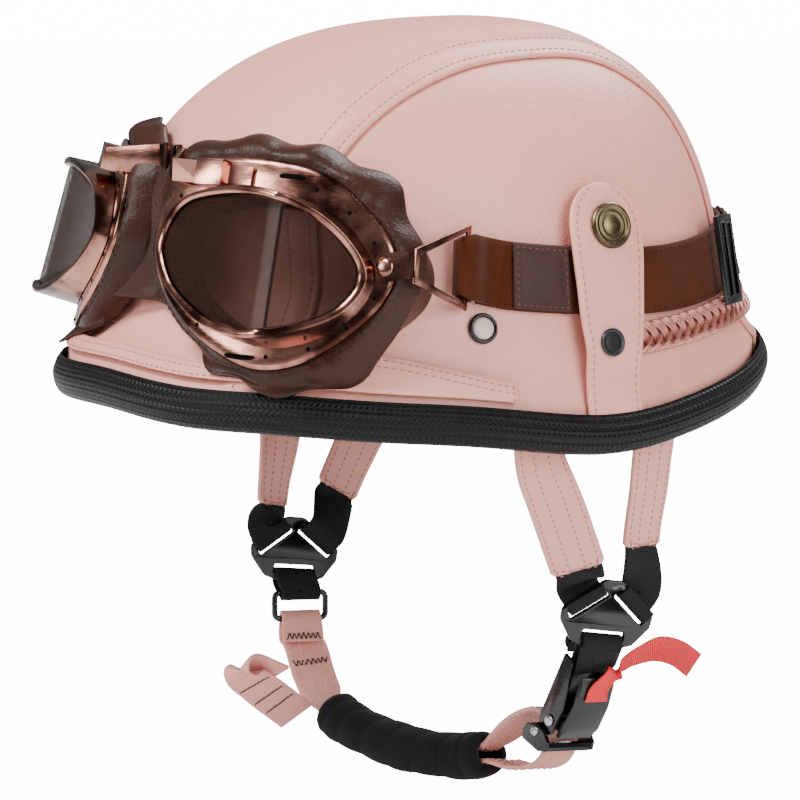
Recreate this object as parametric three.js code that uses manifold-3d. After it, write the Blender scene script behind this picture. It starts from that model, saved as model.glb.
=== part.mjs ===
// Leather-covered motorcycle half helmet with split-lens goggles and a chin harness.
// Millimetres. +Z is up, the front faces -Y and the wearer's left side is +X.
// The origin is the middle of the head opening, where the helmet sits on the head.
import * as THREE from "three";
import * as BufferGeometryUtils from "three/addons/utils/BufferGeometryUtils.js";
import Module from "manifold-3d";

const wasm = await Module();
wasm.setup();

// Crown: the outer face of the leather side panels
const HALF_WIDTH = 104;
const FRONT_REACH = 147;
const BACK_REACH = 106;
const CROWN_HEIGHT = 154.5;
const CROWN_SETBACK = 20;
const FRONT_TUCK = 14;
const TUCK_TOP = 105;
const TUCK_FADE = 50;
const PLAN_POWER = 2.31;
const TOP_POWER = 2.61;
const RISE_POWER = 2.64;
const CROWN_LEAN = 0.038;

// Rim and brim
const RIM_RISE = 34;
const BRIM_FLARE = 22;
const FLARE_HEIGHT = 52;
const FLARE_POWER = 2.5;
const EDGE_DEPTH = 11;

// Walls and gaps
const SHELL_WALL = 3.6;
const LEATHER = 1.2;
const SHELL_GAP = 1.9;
const LAP_GAP = 0.5;
const SEAM_HALF = 55.5;
const SEAM_LAP = 9;
const PANEL_STEPS = 20;

// Edge trim
const TRIM_HEIGHT = 16;
const TRIM_BULGE = 6.6;
const TRIM_GRIP = 9.6;
const TRIM_WALL = 2.1;
const TRIM_CLEAR = 0.8;

// Visor panel
const VISOR_TURN = 69;
const VISOR_HEIGHT = 14;
const VISOR_LOW = 0.36;

// Elastic band, braid and the leather tabs
const BAND_WIDTH = 25.5;
const BAND_THICKNESS = 2;
const BAND_HEIGHT = 58;
const BAND_START = 61;
const BRAID_WIDTH = 12;
const BRAID_THICKNESS = 4;
const BRAID_HEIGHT = 35;
const BRAID_START = 97;
const TAB_LENGTH = 84;
const TAB_HALF = 16.3;
const TAB_WALL = 1.6;
const TAB_Y = 22.4;
const LABEL_WALL = 1;
const LABEL_LENGTH = 25;
const LABEL_START = 68.5;
const SNAP_RADIUS = 9;
const RIVET_RADIUS = 5.5;
const STUD_RADIUS = 5.8;
const STUD_Y = -31.4;
const STUD_Z = 41.5;
const STUD_SEAT = 0.45;
const SLIDER_TURN = 128;
const SLIDER_HALF = 8;
const SLIDER_WALL = 2.4;

// Goggles
const GOGGLE_SHIFT = 5;
const GOGGLE_YAW = 27.5;
const GOGGLE_PITCH = 14;
const GOGGLE_HEIGHT = 65.4;
const GOGGLE_SPREAD = 70.3;
const GOGGLE_SEAT = 1.6;
const FRAME_LIP = 0.8;
const FRAME_WIDTH = 100;
const FRAME_HEIGHT = 79;
const FRAME_WALL = 1.4;
const FRAME_BEND = 180;
const BEZEL_WIDTH = 0.885 * FRAME_WIDTH;
const BEZEL_HEIGHT = 0.709 * FRAME_HEIGHT;
const BEZEL_WALL = 3.4;
const RIDGE_RISE = 21;
const NOSE_RISE = 6;
const OUTER_RISE = 4.5;
const RIDGE_ACROSS = 15.5;
const RING_STEPS = 26;
const LENS_WALL = 2;
const MASK_MARGIN = 11;
const MASK_GAP = 2.1;
const MASK_WALL = 2;
const MASK_DEPTH = 14;
const BRIDGE_BACK = 6.5;
const BRIDGE_LIFT = 4.4;
const BRIDGE_HALF = 5;
const BRIDGE_UP = 0.42;
const LUG_UP = 4.5;
const LUG_WALL = 1.3;
const LINK_WALL = 1.3;
const LINK_BAR = 2.4;
const LINK_TURN = 58.4;
const LOOP_BULGE = 5.6;

// Harness
const HARNESS_OUT = 90;
const YOKE_DROP = 77;
const CHIN_DROP = 150;
const RING_DROP = 101;
const STRAP_WIDTH = 22;
const STRAP_WALL = 2.2;
const WEBBING_WIDTH = 19;
const WEBBING_WALL = 1.6;
const YOKE_WIDTH = 38;
const YOKE_HEIGHT = 27;
const YOKE_WALL = 2.6;
const SLOT_HALF = 8.8;
const SLOT_GAP = 1.9;
const EDGE_BAR = 3;
const RING_WIDTH = 25;
const RING_HEIGHT = 14;
const RING_WIRE = 2.6;
const RING_CORNER = 2.6;
const CHIN_WIDTH = 20;
const CHIN_WALL = 1.8;
const SLEEVE_WIDTH = 22;
const SLEEVE_THICKNESS = 18;
const SLEEVE_WALL = 2.6;
const BUCKLE_WIDTH = 21;
const BUCKLE_LENGTH = 31;
const BUCKLE_DEPTH = 9;
const BUCKLE_WALL = 1.5;
const PIVOT_RADIUS = 1.7;
const RIBBON_WIDTH = 11;
const RIBBON_WALL = 0.8;
const ROLL_RADIUS = 4.2;
const FIT = 0.35;

const LEFT = 1;
const RIGHT = -1;
const SIDES = [["left", LEFT], ["right", RIGHT]];

// Rim round the head: turn in degrees from the front, the rim's height, the brim's flare and the height
// that the flare grows over, as shares of RIM_RISE, BRIM_FLARE and FLARE_HEIGHT
const RIM = [
  { turn: 0, rise: 0.603, flare: 1, fade: 0.8 },
  { turn: 18, rise: 0.553, flare: 1, fade: 0.8 },
  { turn: 31, rise: 0.553, flare: 0.886, fade: 0.84 },
  { turn: 45, rise: 0.5, flare: 0.682, fade: 1.02 },
  { turn: 60, rise: 0.435, flare: 0.5, fade: 1.04 },
  { turn: 85, rise: 0.265, flare: 0.341, fade: 1.04 },
  { turn: 97, rise: 0.282, flare: 0.345, fade: 1 },
  { turn: 110, rise: 0.418, flare: 0.418, fade: 0.96 },
  { turn: 129, rise: 0.676, flare: 0.577, fade: 0.9 },
  { turn: 140, rise: 0.838, flare: 0.632, fade: 0.865 },
  { turn: 155, rise: 0.941, flare: 0.645, fade: 0.846 },
  { turn: 180, rise: 1, flare: 0.655, fade: 0.81 },
];

// Half width of the centre panel by height: height as a share of CROWN_HEIGHT, widths of SEAM_HALF
const SEAM = [
  { height: 0, front: 1.32, back: 1.42 },
  { height: 0.13, front: 1.297, back: 1.405 },
  { height: 0.36, front: 1.245, back: 1.351 },
  { height: 0.54, front: 1.193, back: 1.297 },
  { height: 0.69, front: 1.16, back: 1.218 },
  { height: 0.78, front: 1.137, back: 1.15 },
  { height: 0.85, front: 1.103, back: 1.117 },
  { height: 0.92, front: 1.027, back: 1.03 },
  { height: 0.94, front: 1, back: 1 },
  { height: 1, front: 1, back: 1 },
];

// Middle line of the elastic band and of the braid by turn, as shares of BAND_HEIGHT and BRAID_HEIGHT
const BAND_LINE = [
  { turn: 0, height: 1.2 },
  { turn: 59, height: 1.1 },
  { turn: 68, height: 1.048 },
  { turn: 84, height: 1.005 },
  { turn: 100, height: 0.985 },
  { turn: 114, height: 1 },
  { turn: 127, height: 1.055 },
  { turn: 150, height: 1.14 },
  { turn: 180, height: 1.17 },
];
const BRAID_LINE = [
  { turn: 0, height: 1 },
  { turn: 97, height: 1 },
  { turn: 112, height: 1.07 },
  { turn: 129, height: 1.19 },
  { turn: 150, height: 1.29 },
  { turn: 180, height: 1.34 },
];

// Leather tab from its round top to the rim: drop as a share of TAB_LENGTH, half width of TAB_HALF,
// lift off the crown in shares of BAND_THICKNESS
const TAB = [
  { drop: 0, half: 0.2, lift: 2.2 },
  { drop: 0.025, half: 0.5, lift: 2.3 },
  { drop: 0.075, half: 0.78, lift: 2.5 },
  { drop: 0.15, half: 0.96, lift: 2.75 },
  { drop: 0.27, half: 1, lift: 2.95 },
  { drop: 0.45, half: 0.94, lift: 3 },
  { drop: 0.62, half: 0.88, lift: 3 },
  { drop: 0.74, half: 0.8, lift: 2.9 },
  { drop: 0.86, half: 0.775, lift: 1.6 },
  { drop: 1, half: 0.77, lift: 0.8 },
];

// Outline of the goggle frame's flange round the eye: shares of FRAME_WIDTH and FRAME_HEIGHT
const FLANGE = [
  { across: 0.495, up: -0.07 },
  { across: 0.492, up: 0.134 },
  { across: 0.364, up: 0.318 },
  { across: 0.186, up: 0.461 },
  { across: -0.039, up: 0.5 },
  { across: -0.24, up: 0.492 },
  { across: -0.377, up: 0.46 },
  { across: -0.464, up: 0.261 },
  { across: -0.5, up: 0.06 },
  { across: -0.448, up: -0.12 },
  { across: -0.318, up: -0.3 },
  { across: -0.16, up: -0.42 },
  { across: 0.02, up: -0.495 },
  { across: 0.192, up: -0.457 },
  { across: 0.373, up: -0.291 },
];

// Outline of the bezel round the lens: shares of BEZEL_WIDTH and BEZEL_HEIGHT
const BEZEL = [
  { across: 0.495, up: 0.0 },
  { across: 0.36, up: 0.3 },
  { across: 0.118, up: 0.46 },
  { across: -0.215, up: 0.45 },
  { across: -0.416, up: 0.34 },
  { across: -0.505, up: 0.07 },
  { across: -0.43, up: -0.17 },
  { across: -0.31, up: -0.33 },
  { across: -0.112, up: -0.49 },
  { across: 0.114, up: -0.54 },
  { across: 0.296, up: -0.45 },
  { across: 0.446, up: -0.257 },
];

// How far the soft mask stands past the flange, by the angle round the eye in degrees, of MASK_MARGIN
const MASK_EDGE = [
  { angle: 0, margin: 0.4 },
  { angle: 22, margin: 0.65 },
  { angle: 40, margin: 1 },
  { angle: 75, margin: 0.75 },
  { angle: 115, margin: 0.6 },
  { angle: 140, margin: 0.3 },
  { angle: 180, margin: 0.3 },
  { angle: 220, margin: 0.45 },
  { angle: 245, margin: 0.6 },
  { angle: 275, margin: 0.65 },
  { angle: 305, margin: 1.05 },
  { angle: 325, margin: 0.9 },
  { angle: 343, margin: 0.5 },
  { angle: 360, margin: 0.4 },
];

// Small maths helpers
const vec = (x, y, z) => new THREE.Vector3(x, y, z);
const rad = THREE.MathUtils.degToRad;
const clamp01 = (t) => Math.min(Math.max(t, 0), 1);
const smooth = (t) => clamp01(t) ** 2 * (3 - 2 * clamp01(t));
const steps = (n) => Array.from({ length: n + 1 }, (_, i) => i / n);
const fineEnds = (t) => t - 0.04 * Math.sin(2 * Math.PI * t);
const fineFoot = (t) => 0.6 * t + 0.4 * t ** 2;

// Smooth curve through a table's rows, flat at both ends
function along(rows, key, column, at) {
  let i = 0;
  while (i < rows.length - 2 && at > rows[i + 1][key]) {
    i += 1;
  }
  const slope = (j) => {
    if (j <= 0 || j >= rows.length - 1) {
      return 0;
    }
    return (rows[j + 1][column] - rows[j - 1][column]) / (rows[j + 1][key] - rows[j - 1][key]);
  };
  const span = rows[i + 1][key] - rows[i][key];
  const t = clamp01((at - rows[i][key]) / span);
  const rise = rows[i + 1][column] - rows[i][column];
  const a = slope(i) * span;
  const b = slope(i + 1) * span;
  return rows[i][column] + a * t + (3 * rise - 2 * a - b) * t ** 2 + (a + b - 2 * rise) * t ** 3;
}

const foldTurn = (turn) => Math.abs(((turn % 360) + 540) % 360 - 180);
const rimHeight = (turn) => RIM_RISE * along(RIM, "turn", "rise", foldTurn(turn));
const turnOf = (p) => THREE.MathUtils.radToDeg(Math.atan2(p.x, CROWN_SETBACK - p.y));

function flareAt(turn, z) {
  const fold = foldTurn(turn);
  const fade = FLARE_HEIGHT * along(RIM, "turn", "fade", fold);
  const t = clamp01((rimHeight(turn) + fade - z) / fade);
  return BRIM_FLARE * along(RIM, "turn", "flare", fold) * t ** FLARE_POWER;
}

// Below zero inside the crown, zero on its outer face
function level(p) {
  const reach = Math.hypot(p.x, p.y - CROWN_SETBACK) + 1e-9;
  const kept = Math.max(reach - flareAt(turnOf(p), p.z), 0) / reach;
  const x = p.x * kept;
  let y = (p.y - CROWN_SETBACK) * kept;
  const z = Math.max(p.z - CROWN_LEAN * y, 0);
  const tuck = FRONT_TUCK * smooth((TUCK_TOP - z) / TUCK_FADE);
  const long = y < 0 ? FRONT_REACH - tuck : BACK_REACH;
  const power = PLAN_POWER + (TOP_POWER - PLAN_POWER) * clamp01(z / CROWN_HEIGHT);
  const plan = Math.abs(x / HALF_WIDTH) ** power + Math.abs(y / long) ** power;
  return plan + (z / CROWN_HEIGHT) ** RISE_POWER - 1;
}

// Where a ray from inside the crown meets its outer face
function reachFrom(origin, way) {
  let near = 0;
  let far = 3 * FRONT_REACH;
  for (let i = 0; i < 34; i += 1) {
    const middle = (near + far) / 2;
    if (level(origin.clone().addScaledVector(way, middle)) < 0) {
      near = middle;
    } else {
      far = middle;
    }
  }
  return origin.clone().addScaledVector(way, near);
}

function normalAt(p) {
  const e = 0.4;
  const f = level(p);
  return vec(
    level(vec(p.x + e, p.y, p.z)) - f,
    level(vec(p.x, p.y + e, p.z)) - f,
    level(vec(p.x, p.y, p.z + e)) - f,
  ).normalize();
}

const lifted = (p, off) => p.clone().addScaledVector(normalAt(p), off);

// A point of the crown at a turn and height, lifted off it
function crownAt(turn, z, off = 0) {
  const way = vec(Math.sin(rad(turn)), -Math.cos(rad(turn)), 0);
  return lifted(reachFrom(vec(0, CROWN_SETBACK, z), way), off);
}

// A point of the crown's side at a given front-to-back place and height
function sideAt(side, y, z, off = 0) {
  return lifted(reachFrom(vec(0, y, z), vec(side, 0, 0)), off);
}

// Meshes: one closed body each, faces turned outwards by the sign of its volume
function closedGeometry(points, faces) {
  const raw = new THREE.BufferGeometry();
  raw.setAttribute("position", new THREE.Float32BufferAttribute(points.flatMap((p) => [p.x, p.y, p.z]), 3));
  raw.setIndex(faces);
  return outward(raw);
}

function outward(raw) {
  raw.deleteAttribute("normal");
  raw.deleteAttribute("uv");
  const merged = BufferGeometryUtils.mergeVertices(raw, 1e-4);
  const at = merged.attributes.position;
  const kept = [];
  let volume = 0;
  for (let i = 0; i < merged.index.count; i += 3) {
    const [a, b, c] = [0, 1, 2].map((k) => merged.index.getX(i + k));
    if (a !== b && b !== c && c !== a) {
      kept.push([a, b, c]);
      const [p, q, r] = [a, b, c].map((k) => new THREE.Vector3().fromBufferAttribute(at, k));
      volume += p.dot(q.cross(r));
    }
  }
  merged.setIndex(kept.flatMap(([a, b, c]) => (volume < 0 ? [a, c, b] : [a, b, c])));
  return merged;
}

const group = new THREE.Group();

function add(name, geometry, look) {
  const material = new THREE.MeshStandardMaterial(look);
  const mesh = new THREE.Mesh(geometry, material);
  mesh.name = name;
  group.add(mesh);
  return mesh;
}

// Solid between two grids of points; wrapped grids close round their columns
function plateBetween(outer, inner, wrap = false) {
  const rows = outer.length;
  const columns = outer[0].length;
  const points = [...outer.flat(), ...inner.flat()];
  const half = rows * columns;
  const faces = [];
  const at = (r, c, layer) => layer * half + r * columns + (c % columns);
  const quad = (a, b, c, d) => faces.push(a, b, c, a, c, d);
  const last = wrap ? columns : columns - 1;
  for (let r = 0; r < rows - 1; r += 1) {
    for (let c = 0; c < last; c += 1) {
      quad(at(r, c, 0), at(r, c + 1, 0), at(r + 1, c + 1, 0), at(r + 1, c, 0));
      quad(at(r, c, 1), at(r + 1, c, 1), at(r + 1, c + 1, 1), at(r, c + 1, 1));
    }
  }
  for (let c = 0; c < last; c += 1) {
    quad(at(0, c, 0), at(0, c, 1), at(0, c + 1, 1), at(0, c + 1, 0));
    quad(at(rows - 1, c, 0), at(rows - 1, c + 1, 0), at(rows - 1, c + 1, 1), at(rows - 1, c, 1));
  }
  if (!wrap) {
    for (let r = 0; r < rows - 1; r += 1) {
      quad(at(r, 0, 0), at(r + 1, 0, 0), at(r + 1, 0, 1), at(r, 0, 1));
      quad(at(r, last, 0), at(r, last, 1), at(r + 1, last, 1), at(r + 1, last, 0));
    }
  }
  return closedGeometry(points, faces);
}

// Solid swept through sections of equal point counts, with flat ends or closed on itself
function swept(sections, closed = false) {
  const count = sections.length;
  const sides = sections[0].length;
  const faces = [];
  const at = (i, j) => (i % count) * sides + (j % sides);
  for (let i = 0; i < (closed ? count : count - 1); i += 1) {
    for (let j = 0; j < sides; j += 1) {
      faces.push(at(i, j), at(i, j + 1), at(i + 1, j + 1), at(i, j), at(i + 1, j + 1), at(i + 1, j));
    }
  }
  if (!closed) {
    for (let j = 1; j < sides - 1; j += 1) {
      faces.push(at(0, 0), at(0, j + 1), at(0, j));
      faces.push(at(count - 1, 0), at(count - 1, j), at(count - 1, j + 1));
    }
  }
  return closedGeometry(sections.flat(), faces);
}

// Flat strap: stations of a point, the strap's width direction and its width; thickness is even
function strap(stations, wall) {
  const sections = stations.map((s, i) => {
    const before = stations[Math.max(i - 1, 0)].p;
    const after = stations[Math.min(i + 1, stations.length - 1)].p;
    const way = after.clone().sub(before).normalize();
    const across = s.across.clone().addScaledVector(way, -s.across.dot(way)).normalize();
    const face = new THREE.Vector3().crossVectors(way, across).normalize();
    const corner = (a, b) => s.p.clone()
      .addScaledVector(across, (a * s.width) / 2)
      .addScaledVector(face, (b * wall) / 2);
    return [corner(-1, -1), corner(1, -1), corner(1, 1), corner(-1, 1)];
  });
  return swept(sections);
}

// Stations along a smooth curve through a few points
function route(points, across, width, count) {
  const curve = new THREE.CatmullRomCurve3(points);
  return steps(count).map((t) => ({
    p: curve.getPoint(t),
    across: Array.isArray(across) ? across[0].clone().lerp(across[1], smooth(2 * t - 1)) : across,
    width: typeof width === "function" ? width(t) : width,
  }));
}

function toManifold(geometry) {
  const mesh = new wasm.Mesh({
    numProp: 3,
    vertProperties: new Float32Array(geometry.attributes.position.array),
    triVerts: new Uint32Array(geometry.index.array),
  });
  return new wasm.Manifold(mesh);
}

function fromManifold(body) {
  const mesh = body.getMesh();
  const geometry = new THREE.BufferGeometry();
  geometry.setAttribute("position", new THREE.Float32BufferAttribute(mesh.vertProperties, 3));
  geometry.setIndex(Array.from(mesh.triVerts));
  return outward(geometry);
}

const joined = (geometries) => fromManifold(
  geometries.map(toManifold).reduce((whole, next) => whole.add(next)),
);

// Extruded outline, moved into place by the directions of its own x, y and z
function extruded(shape, depth, origin, x, y) {
  const geometry = new THREE.ExtrudeGeometry(shape, { depth, bevelEnabled: false, curveSegments: 5 });
  const z = new THREE.Vector3().crossVectors(x, y).normalize();
  geometry.applyMatrix4(new THREE.Matrix4().makeBasis(x, y, z).setPosition(origin));
  return outward(geometry);
}

function outline(points) {
  return new THREE.Shape(points.map(([x, y]) => new THREE.Vector2(x, y)));
}

// Turned piece standing on a point with its axis along a normal
function turned(profile, segments, base, normal) {
  const geometry = new THREE.LatheGeometry(profile.map(([r, h]) => new THREE.Vector2(r, h)), segments);
  const turn = new THREE.Quaternion().setFromUnitVectors(vec(0, 1, 0), normal);
  geometry.applyQuaternion(turn).translate(base.x, base.y, base.z);
  return outward(geometry);
}

// Colours and finishes
const LOOKS = {
  shell: { color: 0x1d1b1a, roughness: 0.8, metalness: 0 },
  leather: { color: 0xdcb5b0, roughness: 0.55, metalness: 0 },
  trim: { color: 0x17181b, roughness: 0.5, metalness: 0 },
  suede: { color: 0x54280f, roughness: 0.95, metalness: 0 },
  label: { color: 0x4a3531, roughness: 0.7, metalness: 0 },
  braid: { color: 0xc98f86, roughness: 0.4, metalness: 0 },
  mask: { color: 0x3b2018, roughness: 0.6, metalness: 0 },
  copper: { color: 0xa8674f, roughness: 0.3, metalness: 1 },
  brass: { color: 0x6f6040, roughness: 0.4, metalness: 1 },
  stud: { color: 0xd9c4b4, roughness: 0.5, metalness: 0.2 },
  lens: { color: 0x3a2a26, roughness: 0.05, metalness: 0, transparent: true, opacity: 0.55 },
  webbing: { color: 0x16171a, roughness: 0.85, metalness: 0 },
  plastic: { color: 0x101113, roughness: 0.4, metalness: 0 },
  gunmetal: { color: 0x1c1c20, roughness: 0.3, metalness: 1 },
  foam: { color: 0x0c0c0d, roughness: 0.9, metalness: 0 },
  ribbon: { color: 0xd8101a, roughness: 0.8, metalness: 0 },
};

// Shell
const CORE = vec(0, CROWN_SETBACK, 12);
const edgeHeight = (turn) => rimHeight(turn) - EDGE_DEPTH;

// Points of the rim's top line and of the cover's lower edge at a turn
const rimPoint = (turn) => crownAt(turn, rimHeight(turn));
const rimEdge = (turn) => crownAt(turn, edgeHeight(turn));

function shell() {
  const turns = steps(36).slice(0, -1).map((t) => 360 * t);
  const rows = [-1, ...steps(8).map(fineFoot)];
  const grid = (off) => rows.map((t) => turns.map((turn) => {
    if (t === -1) {
      return lifted(rimEdge(turn), off);
    }
    const edge = rimPoint(turn).sub(CORE);
    const low = Math.atan2(edge.z, Math.hypot(edge.x, edge.y));
    const climb = low + (Math.PI / 2 - low) * t;
    if (t === 1) {
      return lifted(reachFrom(CORE, vec(0, 0, 1)), off);
    }
    const flat = vec(edge.x, edge.y, 0).normalize();
    const way = flat.multiplyScalar(Math.cos(climb)).setZ(Math.sin(climb));
    return lifted(reachFrom(CORE, way), off);
  }));
  const outer = -LEATHER - SHELL_GAP;
  add("shell", plateBetween(grid(outer), grid(outer - SHELL_WALL), true), LOOKS.shell);
}

// Half width of the centre panel where the seam passes a point
function seamHalf(p) {
  const height = clamp01(p.z / CROWN_HEIGHT);
  const back = smooth((p.y - CROWN_SETBACK + 60) / 120);
  const front = along(SEAM, "height", "front", height) * (1 - back);
  return SEAM_HALF * (front + along(SEAM, "height", "back", height) * back);
}

// Station of a line that runs over the crown from front to back, offset sideways from the seam
function overCrown(side, share, inset, climb) {
  let x = SEAM_HALF;
  let p = vec(0, 0, 0);
  for (let i = 0; i < 8; i += 1) {
    const origin = vec(side * x, CROWN_SETBACK, CORE.z);
    p = reachFrom(origin, vec(0, -Math.cos(climb), Math.sin(climb)));
    x = share * (seamHalf(p) - inset);
  }
  return p;
}

// The climb at which such a line meets a depth below the rim's top line, at the front or at the back
function rimClimb(side, share, inset, back, depth) {
  let low = -0.5;
  let high = 1;
  for (let i = 0; i < 24; i += 1) {
    const middle = (low + high) / 2;
    const p = overCrown(side, share, inset, back ? Math.PI - middle : middle);
    if (p.z > rimHeight(turnOf(p)) - depth) {
      high = middle;
    } else {
      low = middle;
    }
  }
  return back ? Math.PI - low : low;
}

function overLine(side, share, inset, count) {
  const [first, last] = [false, true].map((back) => rimClimb(side, share, inset, back, 0));
  const [foot, tail] = [false, true].map((back) => rimClimb(side, share, inset, back, EDGE_DEPTH));
  const climbs = steps(count).map((t) => first + (last - first) * fineEnds(t));
  return [foot, ...climbs, tail].map((climb) => overCrown(side, share, inset, climb));
}

// Centre panel: its edges lie on the side panels, so it steps up over the lap
function centrePanel() {
  const raised = LAP_GAP + LEATHER;
  const half = [
    { share: 1, inset: 0, off: raised },
    { share: 1, inset: SEAM_LAP, off: raised },
    { share: 1, inset: SEAM_LAP + 4, off: 0.2 },
    { share: 0.74, inset: SEAM_LAP + 4, off: 0 },
    { share: 0.48, inset: SEAM_LAP + 4, off: 0 },
    { share: 0.24, inset: SEAM_LAP + 4, off: 0 },
  ].map((row) => ({ ...row, side: LEFT }));
  const middle = { share: 0, inset: 0, off: 0, side: LEFT };
  const mirrored = half.map((row) => ({ ...row, side: RIGHT })).reverse();
  const lines = [...half, middle, ...mirrored].map((row) => (
    overLine(row.side, row.share, row.inset, PANEL_STEPS).map((p) => ({ p, off: row.off }))
  ));
  const grid = (under) => lines.map((line) => line.map(({ p, off }) => lifted(p, off - under)));
  add("centre_panel", plateBetween(grid(0), grid(LEATHER)), LOOKS.leather);
}

// Side panel: from under the centre panel's edge down to the rim
function sidePanel(name, side) {
  const hidden = overLine(side, 1, SEAM_LAP - 0.8, PANEL_STEPS).slice(1, -1);
  const line = overLine(side, 1, -1.5, PANEL_STEPS);
  const top = line.slice(1, -1);
  const first = turnOf(line[0]);
  const span = turnOf(line[line.length - 1]) - first;
  const turns = steps(PANEL_STEPS).map((t) => first + span * t);
  const foot = turns.map(rimPoint);
  const edge = turns.map(rimEdge);
  const rows = steps(6);
  const grid = (off) => [hidden.map((p) => lifted(p, off)), ...rows.map((down) => top.map((p, i) => {
    const from = p.clone().sub(CORE).normalize();
    const to = foot[i].clone().sub(CORE).normalize();
    return lifted(reachFrom(CORE, from.lerp(to, down).normalize()), off);
  })), edge.map((p) => lifted(p, off))];
  add(`side_panel_${name}`, plateBetween(grid(0), grid(-LEATHER)), LOOKS.leather);
}

// Height of the strip at a turn: low behind the goggles, full beside them, tapered at its ends
function visorRise(turn) {
  const bend = Math.abs(turn);
  const beside = VISOR_LOW + (1 - VISOR_LOW) * smooth((bend - 27) / 7);
  return VISOR_HEIGHT * beside * (1 - 0.45 * smooth((bend - 42) / 27));
}

function visorPanel() {
  const base = LEATHER + 3 * LAP_GAP;
  const turns = steps(24).map((t) => VISOR_TURN * (2 * t - 1));
  const grid = (off) => [0, 0.5, 1].map((up) => turns.map((turn) => {
    const z = rimHeight(turn) + 0.6 + visorRise(turn) * up;
    return crownAt(turn, z, off);
  }));
  add("visor_panel", plateBetween(grid(base + LEATHER), grid(base)), LOOKS.leather);
}

// Rubber channel over the rim: out and down in shares of TRIM_BULGE, TRIM_GRIP and TRIM_HEIGHT
function edgeTrim() {
  const lap = 2 * LAP_GAP + LEATHER + TRIM_CLEAR;
  const wallIn = -(LEATHER + SHELL_GAP + SHELL_WALL) - TRIM_CLEAR;
  const floor = -EDGE_DEPTH - TRIM_CLEAR;
  const profile = [
    [lap, 0],
    [lap + 0.62 * (TRIM_BULGE - lap), -0.2 * TRIM_HEIGHT],
    [TRIM_BULGE, -0.55 * TRIM_HEIGHT],
    [0.55 * TRIM_BULGE, -0.97 * TRIM_HEIGHT],
    [-0.55 * TRIM_GRIP, -TRIM_HEIGHT],
    [wallIn - TRIM_WALL, -0.7 * TRIM_HEIGHT],
    [wallIn - TRIM_WALL, -0.25 * TRIM_HEIGHT],
    [wallIn, -0.25 * TRIM_HEIGHT],
    [wallIn, floor],
    [lap, floor],
  ];
  const sections = steps(36).slice(0, -1).map((t) => {
    const turn = 360 * t;
    const rim = rimHeight(turn);
    const out = vec(Math.sin(rad(turn)), -Math.cos(rad(turn)), 0);
    const root = reachFrom(vec(0, CROWN_SETBACK, rim - EDGE_DEPTH / 2), out);
    return profile.map(([off, down]) => root.clone().addScaledVector(out, off).setZ(rim + down));
  });
  add("edge_trim", swept(sections, true), LOOKS.trim);
}

// Bands that follow the crown
const bandHeight = (turn) => BAND_HEIGHT * along(BAND_LINE, "turn", "height", foldTurn(turn));
const braidHeight = (turn) => BRAID_HEIGHT * along(BRAID_LINE, "turn", "height", foldTurn(turn));

// Clearance under a band: small on the side panels, more where it crosses the centre panel
function underBand(turn) {
  const fold = foldTurn(turn);
  return LAP_GAP * 2 + (LEATHER + LAP_GAP) * smooth((fold - 112) / 14);
}

function bandSections(from, to, count, height, width, under, wall) {
  return steps(count).map((t) => {
    const turn = from + (to - from) * t;
    const z = height(turn);
    const low = under(turn);
    return [
      crownAt(turn, z - width / 2, low),
      crownAt(turn, z - width / 2, low + wall),
      crownAt(turn, z + width / 2, low + wall),
      crownAt(turn, z + width / 2, low),
    ];
  });
}

function elasticBand() {
  const sections = bandSections(
    BAND_START, 360 - BAND_START, 34, bandHeight, BAND_WIDTH, underBand, BAND_THICKNESS,
  );
  add("elastic_band", swept(sections), LOOKS.suede);
}

function braidedCord() {
  const start = BRAID_START;
  const sections = bandSections(
    start, 360 - start, 26, braidHeight, BRAID_WIDTH, underBand, BRAID_THICKNESS,
  );
  add("braided_cord", swept(sections), LOOKS.braid);
}

// Leather patch sewn on the elastic, on the left only
function bandLabel() {
  const low = (turn) => underBand(turn) + BAND_THICKNESS + LAP_GAP;
  const reach = HALF_WIDTH + low(90);
  const span = THREE.MathUtils.radToDeg(LABEL_LENGTH / reach);
  const start = LABEL_START;
  const sections = bandSections(start, start + span, 4, bandHeight, BAND_WIDTH - 1, low, LABEL_WALL);
  add("band_label", swept(sections), LOOKS.label);
}

// Height and half width of the tab at each row
function tabRows(side) {
  const foot = rimHeight(turnOf(sideAt(side, TAB_Y, 0))) + 0.8;
  const top = foot + TAB_LENGTH;
  return TAB.map((row) => ({ ...row, z: top - TAB_LENGTH * row.drop }));
}

function strapTab(name, side) {
  const rows = tabRows(side);
  const grid = (extra) => rows.map((row) => [-1, -0.4, 0.4, 1].map((across) => (
    sideAt(side, TAB_Y + across * TAB_HALF * row.half, row.z, row.lift * BAND_THICKNESS + extra)
  )));
  add(`strap_tab_${name}`, plateBetween(grid(TAB_WALL), grid(0)), LOOKS.leather);
}

function liftAt(side, z) {
  const rows = tabRows(side);
  const drop = clamp01((rows[0].z - z) / TAB_LENGTH);
  return along(TAB, "drop", "lift", drop) * BAND_THICKNESS;
}

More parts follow.
